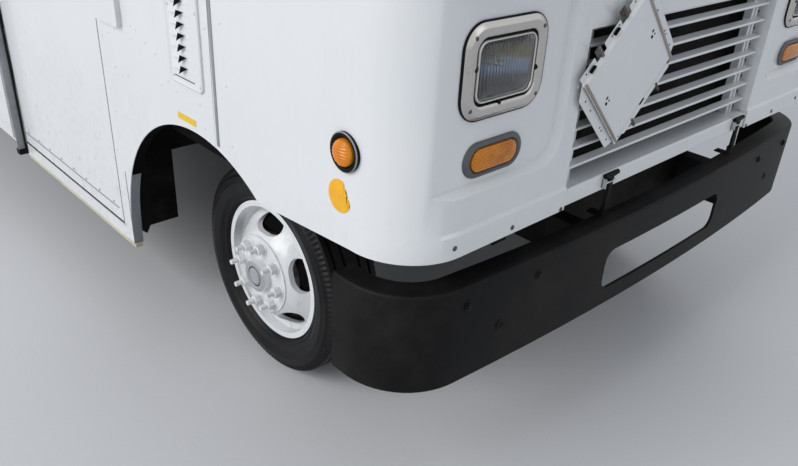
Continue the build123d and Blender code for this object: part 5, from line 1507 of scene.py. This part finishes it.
def makeRoofTrim():
    look = roofLook
    gutters, seams = Shape(), Shape()
    for side in (-1, 1):
        section = outward(side, bodyHalf, [(out, look["eaves"] + rise) for out, rise in look["gutterSection"]])
        gutters.prism(section, "Y", along(look["gutterFront"]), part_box("roof")[1][1] - 0.020)
    place(gutters, "roofGutters", "bodyWhite", bevel=0.0008)
    for y in look["seams"]:
        seams.prism([(along(y) + aside, look["top"] + rise) for aside, rise in look["seamSection"]], "X",
                    -(bodyHalf - look["seamInset"]), bodyHalf - look["seamInset"])
    place(seams, "roofSeams", "bodyWhite")
    low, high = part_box("roof_vent")
    centre = ((low[0] + high[0]) / 2, (low[1] + high[1]) / 2, low[2])
    place(Shape().lathe(look["throat"], centre, "Z", 64, loop=True), "ventThroat", "darkGap")
    vanes, bolts = Shape(), Shape()
    for turn in turnsOf(look["vanes"]):
        a, b = math.cos(turn), math.sin(turn)
        vanes.skin([[(centre[0] + r * a - t * b, centre[1] + r * b + t * a, centre[2] + z)
                     for r, t in look["vane"]] for z in look["vaneZ"]])
    place(vanes, "ventVanes", "stainless")
    for turn in turnsOf(look["bolts"]):
        offset = spin("Z", look["boltZ"], look["boltCircle"], turn + math.pi / look["bolts"])
        bolts.bolt(Vector(centre) + offset, (0, 0, 1), 0.008, 0.005)
    place(bolts, "ventBolts", "steel")


makeServingSide()
makePanelSeams()
makeRoofTrim()
print("serving side and roof trimmed")


# Driver's seat: padded cushion and back with sewn channels and piping, on a pedestal
seatLook = {"cushion": (0.470, 0.480, 0.130), "cushionY": 0.235, "cushionZ": 0.440,
            "back": (0.450, 0.110, 0.600), "backY": -0.062, "backZ": 0.790, "piping": 0.0045,
            "pipingSize": 0.955, "pipingRadius": 0.055,
            "pipingLift": 0.62, "channels": (-0.075, 0.075), "middleY": 0.210, "pedestal": (0.300, 0.310),
            "plateEdge": 0.02, "armX": 0.213, "railX": 0.15, "bellowsTop": 0.335, "folds": 5, "foldDepth": 0.012}
padLook = {"rings": 40, "count": 56, "square": 0.34, "crown": 0.10, "flat": 0.90, "groove": 0.085,
           "grooveWidth": 0.007, "waist": 0.030, "flare": 0.012}
seatLow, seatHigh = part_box("driver_seat")
seatMiddle = (seatLow[0] + seatHigh[0]) / 2
cabFloor = seatLow[2]


# A stuffed pad: crowned faces, sides that pull in, and sewn channels along it
def makePad(name, centre, size, face, other, channels):
    look = padLook
    half = [value / 2 for value in size]

    def bulge(u, v, w):
        point = [math.copysign(abs(value) ** look["square"], value) * reach
                 for value, reach in zip((u, v, w), half)]
        across, up, lengthwise = point[0] / half[0], point[face] / half[face], point[other] / half[other]
        crown = look["crown"] * (1 - across ** 2) * (1 - lengthwise ** 2)
        groove = sum(math.exp(-((point[0] - channel) / look["grooveWidth"]) ** 2) for channel in channels)
        point[face] *= look["flat"] + crown - look["groove"] * groove * (1 - lengthwise ** 6)
        waist = 1 - look["waist"] * (1 - up ** 2)
        point[0] *= waist + look["flare"] * lengthwise ** 2
        point[other] *= waist + look["flare"] * across ** 2
        return Vector(centre) + Vector(point)

    rings = []
    for ring in range(1, look["rings"]):
        height = math.pi * ring / look["rings"] - math.pi / 2
        w = math.sin(height)
        flat = [(math.cos(height) * math.cos(turn), math.cos(height) * math.sin(turn))
                for turn in turnsOf(look["count"])]
        rings.append([bulge(u, v, w) if face == 2 else bulge(u, w, v) for u, v in flat])
    cushion = place(Shape().skin(rings), name, "seatVinyl", replaces=("driver_seat",), sharp=70)


def makePiping(name, centre, size, face, other, lift):
    look = seatLook
    outline = rounded(size[0] * look["pipingSize"], size[other] * look["pipingSize"], look["pipingRadius"], 6)
    path = []
    for u, w in outline + outline[:1]:
        point = [u, 0, 0]
        point[other] = w
        point[face] = lift * size[face] / 2
        path.append(Vector(centre) + Vector(point))
    place(Shape().tube(path, look["piping"], 8), name, "dashPlastic")


def makeSeat():
    look = seatLook
    frontY, backY = seatLow[1], seatHigh[1]
    seatSpot = (seatMiddle, frontY + look["cushionY"], cabFloor + look["cushionZ"])
    backSpot = (seatMiddle, backY + look["backY"], cabFloor + look["backZ"])
    for name, size, spot, face, other, lift in (
            ("seatCushion", look["cushion"], seatSpot, 2, 1, look["pipingLift"]),
            ("seatBack", look["back"], backSpot, 1, 2, -look["pipingLift"])):
        makePad(name, spot, size, face, other, look["channels"])
        makePiping(name + "Piping", spot, size, face, other, lift)
    wide, deep = look["pedestal"]
    edge = look["plateEdge"]
    middleY = frontY + look["middleY"]
    base = Shape()
    base.block((seatMiddle - wide / 2 - edge, middleY - deep / 2 - edge, cabFloor),
               (seatMiddle + wide / 2 + edge, middleY + deep / 2 + edge, cabFloor + 0.010))
    base.block((seatMiddle - 0.200, middleY - 0.200, cabFloor + 0.345),
               (seatMiddle + 0.200, middleY + 0.210, cabFloor + 0.375))
    arm = [(frontY + 0.34, cabFloor + 0.36), (frontY + 0.44, cabFloor + 0.36), (backY - 0.030, cabFloor + 0.62),
           (backY - 0.075, cabFloor + 0.62)]
    for side in (-1, 1):
        x = seatMiddle + side * look["armX"]
        base.prism(arm, "X", x - 0.004, x + 0.004)
        base.tube([(seatMiddle + side * look["railX"], y, cabFloor + 0.338)
                   for y in (middleY - 0.19, middleY + 0.20)], 0.010)
    place(base, "seatFrame", "blackSteel", replaces=("driver_seat",), bevel=0.003)
    rings = []
    for number, z in enumerate(spread(cabFloor + 0.010, cabFloor + look["bellowsTop"], look["folds"] * 2 + 1)):
        inset = 2 * look["foldDepth"] if number % 2 else 0.0
        outline = rounded(wide - inset, deep - inset, 0.03, 5)
        rings.append([(seatMiddle + u, middleY + w, z) for u, w in outline])
    place(Shape().skin(rings), "seatBellows", "rubber", sharp=80)
    lever = Shape().tube([(seatMiddle - 0.10, frontY + 0.03, cabFloor + 0.350),
                          (seatMiddle - 0.10, frontY, cabFloor + 0.345),
                          (seatMiddle - 0.04, frontY, cabFloor + 0.345)], 0.005, 8)
    place(lever, "seatLever", "steel")
    x = seatMiddle + 0.245
    near, far = backY - 0.080, backY - 0.035
    belt = Shape().skin([[(x, near, z), (x, far, z), (x + 0.0015, far, z), (x + 0.0015, near, z)]
                         for z in (cabFloor + 0.03, cabFloor + 0.30, cabFloor + 0.60)])
    place(belt, "seatBelt", "dashPlastic")


makeSeat()
print("seat padded")


# Dashboard: gauges under a hood, switches, vents, pedals and levers
dashLook = {
    "foot": (-0.150, 1.480), "head": (-0.200, 1.640), "panel": (0.500, 0.150, 0.020),
    "panelFace": (0.492, 0.142, 0.018),
    "gauges": ((-0.085, 0.052, 13), (0.085, 0.052, 13), (-0.190, 0.030, 7), (0.190, 0.030, 7)),
    "bezel": ((1.0, -0.001), (1.0, 0.006), (0.94, 0.010), (0.88, 0.008), (0.88, -0.001)),
    "dial": ((0.89, 0.0004), (0.89, 0.0016)), "glass": ((0.885, 0.0058), (0.885, 0.0070)),
    "tick": (0.70, 0.82, 0.0009), "sweep": (225, -45), "needleTurn": 205, "needle": (0.72, 0.002),
    "hood": ((-0.205, 1.640), (-0.120, 1.655), (-0.112, 1.668), (-0.125, 1.678), (-0.230, 1.664)),
    "hoodHalf": 0.262, "panelSteps": ((0, -0.001), (0, 0.0022), (1, 0.0032)),
    "switches": 7, "firstSwitch": 0.10, "switchPitch": 0.032, "switch": (0.022, 0.034, 0.003),
    "switchTop": (0.018, 0.030, 0.003), "vents": (-0.78, -0.30, 0.02), "vent": (0.190, 0.080, 0.012),
    "ventHole": (0.172, 0.062, 0.008), "slats": (-0.024, 0.024, 5), "slatHalf": 0.086,
    "slat": ((-0.0045, 0.0010), (0.0035, 0.0048), (0.0045, 0.0042), (-0.0035, 0.0004)),
    "pedals": ((0.02, 0.150, 1.035), (0.150, 0.210, 1.000)), "pedalHalf": 0.032,
    "latchX": (0.334, 0.341), "latchY": (-0.30, 0.22), "latchZ": (1.02, 1.10)}


def dashSpot(x, share=0.5):
    foot, head = dashLook["foot"], dashLook["head"]
    y = along(foot[0] + (head[0] - foot[0]) * share)
    z = foot[1] + (head[1] - foot[1]) * share
    length = math.hypot(head[0] - foot[0], head[1] - foot[1])
    upY, upZ = (head[0] - foot[0]) / length, (head[1] - foot[1]) / length
    return lambda u, w, proud: (x + u, y + w * upY + proud * upZ, z + w * upZ - proud * upY)


def makeGauges(spot):
    look = dashLook
    bezels, dials, glass, needles, ticks = Shape(), Shape(), Shape(), Shape(), Shape()
    normal = Vector(spot(0, 0, 1)) - Vector(spot(0, 0, 0))
    for u, radius, count in look["gauges"]:
        def circles(rows):
            return [([(u + factor * radius * math.cos(turn), factor * radius * math.sin(turn))
                      for turn in turnsOf(40)], proud) for factor, proud in rows]

        bezels.layers(circles(look["bezel"]), spot, loop=True)
        dials.layers(circles(look["dial"]), spot)
        near, far, width = radius * look["tick"][0], radius * look["tick"][1], look["tick"][2]
        for degrees in spread(*look["sweep"], count):
            a, b = math.cos(math.radians(degrees)), math.sin(math.radians(degrees))
            corners = [(u + reach * a - half * b, reach * b + half * a) for reach, half in
                       ((near, width), (near, -width), (far, -width), (far, width))]
            ticks.layers([(corners, proud) for proud in (0.0015, 0.0020)], spot)
        a, b = math.cos(math.radians(look["needleTurn"])), math.sin(math.radians(look["needleTurn"]))
        reach, half = radius * look["needle"][0], look["needle"][1]
        corners = [(u - half * b, half * a), (u + half * b, -half * a), (u + reach * a, reach * b)]
        needles.layers([(corners, proud) for proud in (0.0026, 0.0034)], spot)
        needles.head(spot(u, 0, 0.0016), normal, 0.0055, 0.003)
        glass.layers(circles(look["glass"]), spot)
    place(bezels, "gaugeBezels", "chrome")
    place(dials, "gaugeFaces", "darkGap")
    place(ticks, "gaugeTicks", "studWhite")
    place(needles, "gaugeNeedles", "amberClear")
    place(glass, "gaugeGlass", "lampGlass")


def makeDashboard():
    look = dashLook
    spot = dashSpot(seatMiddle)
    makeGauges(spot)
    panel = Shape().steps(spot, look["panel"], look["panelFace"], look["panelSteps"], loop=False)
    place(panel, "gaugePanel", "blackSteel")
    hood = Shape().prism([(along(y), z) for y, z in look["hood"]], "X",
                         seatMiddle - look["hoodHalf"], seatMiddle + look["hoodHalf"])
    place(hood, "gaugeHood", "dashPlastic", bevel=0.004)
    switches = Shape()
    for number in range(look["switches"]):
        switches.steps(dashSpot(look["firstSwitch"] + number * look["switchPitch"], 0.30), look["switch"],
                       look["switchTop"], ((0, 0.0), (0, 0.004), (1, 0.007)), loop=False, corner=3)
    place(switches, "dashSwitches", "blackSteel")
    vents, slats = Shape(), Shape()
    for x in look["vents"]:
        at = dashSpot(x, 0.55)
        vents.steps(at, look["vent"], look["ventHole"], ((0, 0.0), (0, 0.006), (1, 0.007), (1, 0.001)))
        for w in spread(*look["slats"]):
            slats.skin([[at(side * look["slatHalf"], w + a, b) for a, b in look["slat"]] for side in (-1, 1)])
    place(vents, "ventFrames", "dashPlastic", bevel=0.001)
    place(slats, "ventSlats", "blackSteel")
    makeControls()


def makeControls():
    look = dashLook
    pedals, levers, latches = Shape(), Shape(), Shape()
    for u, tall, z in look["pedals"]:
        x = seatMiddle + u
        pedals.prism([(along(-0.395), z), (along(-0.385), z - 0.004), (along(-0.440), z + tall),
                      (along(-0.450), z + tall - 0.002)], "X", x - look["pedalHalf"], x + look["pedalHalf"])
        pedals.tube([(x, along(-0.430), z + tall * 0.6), (x, along(-0.470), z + tall + 0.08),
                     (x, along(-0.474), z + tall + 0.16)], 0.009, 8)
    place(pedals, "pedals", "rubber", bevel=0.002)
    end = (seatMiddle - 0.20, along(0.0), 1.650)
    levers.tube([(seatMiddle + 0.02, along(0.020), 1.590), (seatMiddle + 0.16, along(0.0), 1.610)], 0.006, 8)
    levers.tube([(seatMiddle - 0.02, along(0.0), 1.580), (seatMiddle - 0.15, along(-0.01), 1.630), end],
                0.0075, 8)
    levers.head(end, (-1, 0, 0.4), 0.014, 0.028)
    place(levers, "columnLevers", "blackSteel")
    (inner, outer), (low, high) = look["latchX"], look["latchZ"]
    for side in (-1, 1):
        for y in look["latchY"]:
            latches.block((side * inner, along(y) - 0.018, low), (side * outer, along(y) + 0.018, high))
    place(latches, "engineCoverLatches", "steel", bevel=0.0015)


makeDashboard()
print("dashboard fitted")


# Kitchen: drawer and cupboard fronts, griddle plate, knobs and hood filters
kitchenLook = {"front": 2.800, "rear": 4.800, "depth": 0.680, "top": 1.760, "fronts": 4, "gap": 0.006,
               "rows": ((1.060, 1.400), (1.406, 1.600)), "handle": 0.007, "handleOut": 0.046,
               "knobs": (0.12, 0.87, 6),
               "knobZ": 1.685, "knob": ((1, 0), (0.96, 0.25), (0.74, 0.35), (0.70, 1)), "wellTop": 0.040,
               "hoodZ": 2.250, "filters": 26, "filterHalf": 0.020, "filterInset": 0.045, "rim": 0.011}


def makeKitchen():
    look = kitchenLook
    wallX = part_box("kitchen_units")[1][0]
    lineX = wallX - look["depth"]
    top, wellTop = look["top"], look["top"] - look["wellTop"]
    front, rear = along(look["front"]), along(look["rear"])
    width = (rear - front - 0.02) / look["fronts"]
    doors, handles = Shape(), Shape()
    for number in range(look["fronts"]):
        start = front + 0.01 + number * width + look["gap"] / 2
        end = start + width - look["gap"]
        for bottom, head in look["rows"]:
            doors.block((lineX - 0.0180, start, bottom), (lineX + 0.0005, end, head))
            grip = ((0.018, start + 0.10), (look["handleOut"], start + 0.10), (look["handleOut"], end - 0.10),
                    (0.018, end - 0.10))
            handles.tube([(lineX - out, y, head - 0.040) for out, y in grip], look["handle"], 8)
    place(doors, "cupboardFronts", "stainless", bevel=0.0025)
    place(handles, "cupboardHandles", "steel")
    knobs = Shape()
    for y in spread(*look["knobs"]):
        knobs.head((lineX - 0.0005, front + y, look["knobZ"]), (-1, 0, 0), 0.024, 0.026, 24, look["knob"])
    place(knobs, "griddleKnobs", "blackSteel")
    left, right, near, far = lineX + 0.012, wallX - 0.072, front + 0.072, front + 0.888
    plate = Shape().block((left, near, top - 0.0595), (right, far, wellTop))
    place(plate, "griddlePlate", "griddleSteel", bevel=0.002)
    guard = Shape()
    for y in (near, far):
        guard.block((left, y - 0.004, wellTop), (right, y + 0.004, top + 0.070))
    guard.block((right - 0.006, near, wellTop), (right, far, top + 0.110))
    place(guard, "griddleGuard", "stainless", bevel=0.0015)
    low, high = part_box("extraction_hood")
    hoodZ = look["hoodZ"]
    inner, outer = low[0] + look["filterInset"], high[0] - look["filterInset"]
    filters = Shape()
    for y in spread(front + 0.06, rear - 0.06, look["filters"]):
        filters.prism([(inner, hoodZ + 0.118), (outer, hoodZ + 0.150), (outer, hoodZ + 0.160),
                       (inner, hoodZ + 0.128)], "Y", y - look["filterHalf"], y + look["filterHalf"])
    place(filters, "hoodFilters", "steel", bevel=0.002)
    ends = (front + 0.012, rear - 0.012)
    rim = Shape().tube([(low[0] + 0.012, y, hoodZ + 0.002) for y in ends], look["rim"], 10)
    place(rim, "hoodRim", "stainless")


makeKitchen()
print("kitchen fitted")


# Floor, light and camera
stageLook = {"floorSize": 60, "floorColour": (0.70, 0.70, 0.71), "floorSpeck": (0.52, 0.52, 0.53),
             "sky": (0.80, 0.82, 0.84), "fillColour": (0.86, 0.92, 1.0), "fill": 0.50, "aim": (0, 0, 1.2),
             "lights": {"key": (5200, 18.0, (-25.0, 2.0, 17.0)), "front": (260, 12.0, (8.0, -22.0, 12.0)),
                        "back": (2400, 18.0, (18.0, 22.0, 17.0))}}
photoView = {"place": (-2.22, -4.5475, 1.816), "azimuth": 44.26, "down": 28.48, "roll": 3.19,
             "focal": 751.4, "width": 798, "sensor": 36, "farthest": 200}


def makeFloor():
    bpy.ops.mesh.primitive_plane_add(size=stageLook["floorSize"])
    floor = bpy.context.object
    floor.name = "floor"
    finish = Finish("paleFloor")
    speck = finish.noise(90, 4, 0.6)
    colour = finish.blend(speck * 0.25, stageLook["floorColour"], stageLook["floorSpeck"])
    finish.set(Base_Color=colour, Roughness=0.75 + speck * 0.1)
    floor.data.materials.append(finish.material)


def makeSky():
    world = bpy.data.worlds.new("studio")
    bpy.context.scene.world = world
    world.use_nodes = True
    tree = world.node_tree
    tree.nodes.clear()
    ray = tree.nodes.new("ShaderNodeLightPath")
    seen = tree.nodes.new("ShaderNodeBackground")
    seen.inputs["Color"].default_value = (*stageLook["sky"], 1)
    fill = tree.nodes.new("ShaderNodeBackground")
    fill.inputs["Color"].default_value = (*stageLook["fillColour"], 1)
    fill.inputs["Strength"].default_value = stageLook["fill"]
    mix = tree.nodes.new("ShaderNodeMixShader")
    end = tree.nodes.new("ShaderNodeOutputWorld")
    total = ray.outputs["Is Camera Ray"]       # metal and glass show the same pale studio
    for kind in ("Is Glossy Ray", "Is Transmission Ray"):
        both = tree.nodes.new("ShaderNodeMath")
        both.operation = "ADD"
        both.use_clamp = True
        tree.links.new(total, both.inputs[0])
        tree.links.new(ray.outputs[kind], both.inputs[1])
        total = both.outputs[0]
    tree.links.new(total, mix.inputs["Fac"])
    tree.links.new(fill.outputs[0], mix.inputs[1])
    tree.links.new(seen.outputs[0], mix.inputs[2])
    tree.links.new(mix.outputs[0], end.inputs["Surface"])


def makeLights():
    for name, (power, size, spot) in stageLook["lights"].items():
        light = bpy.data.lights.new(name, "AREA")
        light.energy = power
        light.size = size
        lamp = bpy.data.objects.new(name, light)
        bpy.context.scene.collection.objects.link(lamp)
        lamp.location = spot
        aim = Vector(stageLook["aim"]) - lamp.location
        lamp.rotation_euler = aim.to_track_quat("-Z", "Y").to_euler()


def makeCamera():
    look = photoView
    data = bpy.data.cameras.new("photoView")
    data.sensor_width = look["sensor"]
    data.lens = look["focal"] / look["width"] * look["sensor"]
    data.clip_end = look["farthest"]
    camera = bpy.data.objects.new("photoView", data)
    bpy.context.scene.collection.objects.link(camera)
    turn = Matrix.Rotation(math.radians(-look["azimuth"]), 4, "Z")
    tip = Matrix.Rotation(math.radians(90 - look["down"]), 4, "X")
    roll = Matrix.Rotation(math.radians(look["roll"]), 4, "Z")
    camera.matrix_world = Matrix.Translation(look["place"]) @ turn @ tip @ roll
    bpy.context.scene.camera = camera


makeFloor()
makeSky()
makeLights()
makeCamera()
bpy.context.scene.view_settings.view_transform = "Standard"
print("floor, light and camera set")
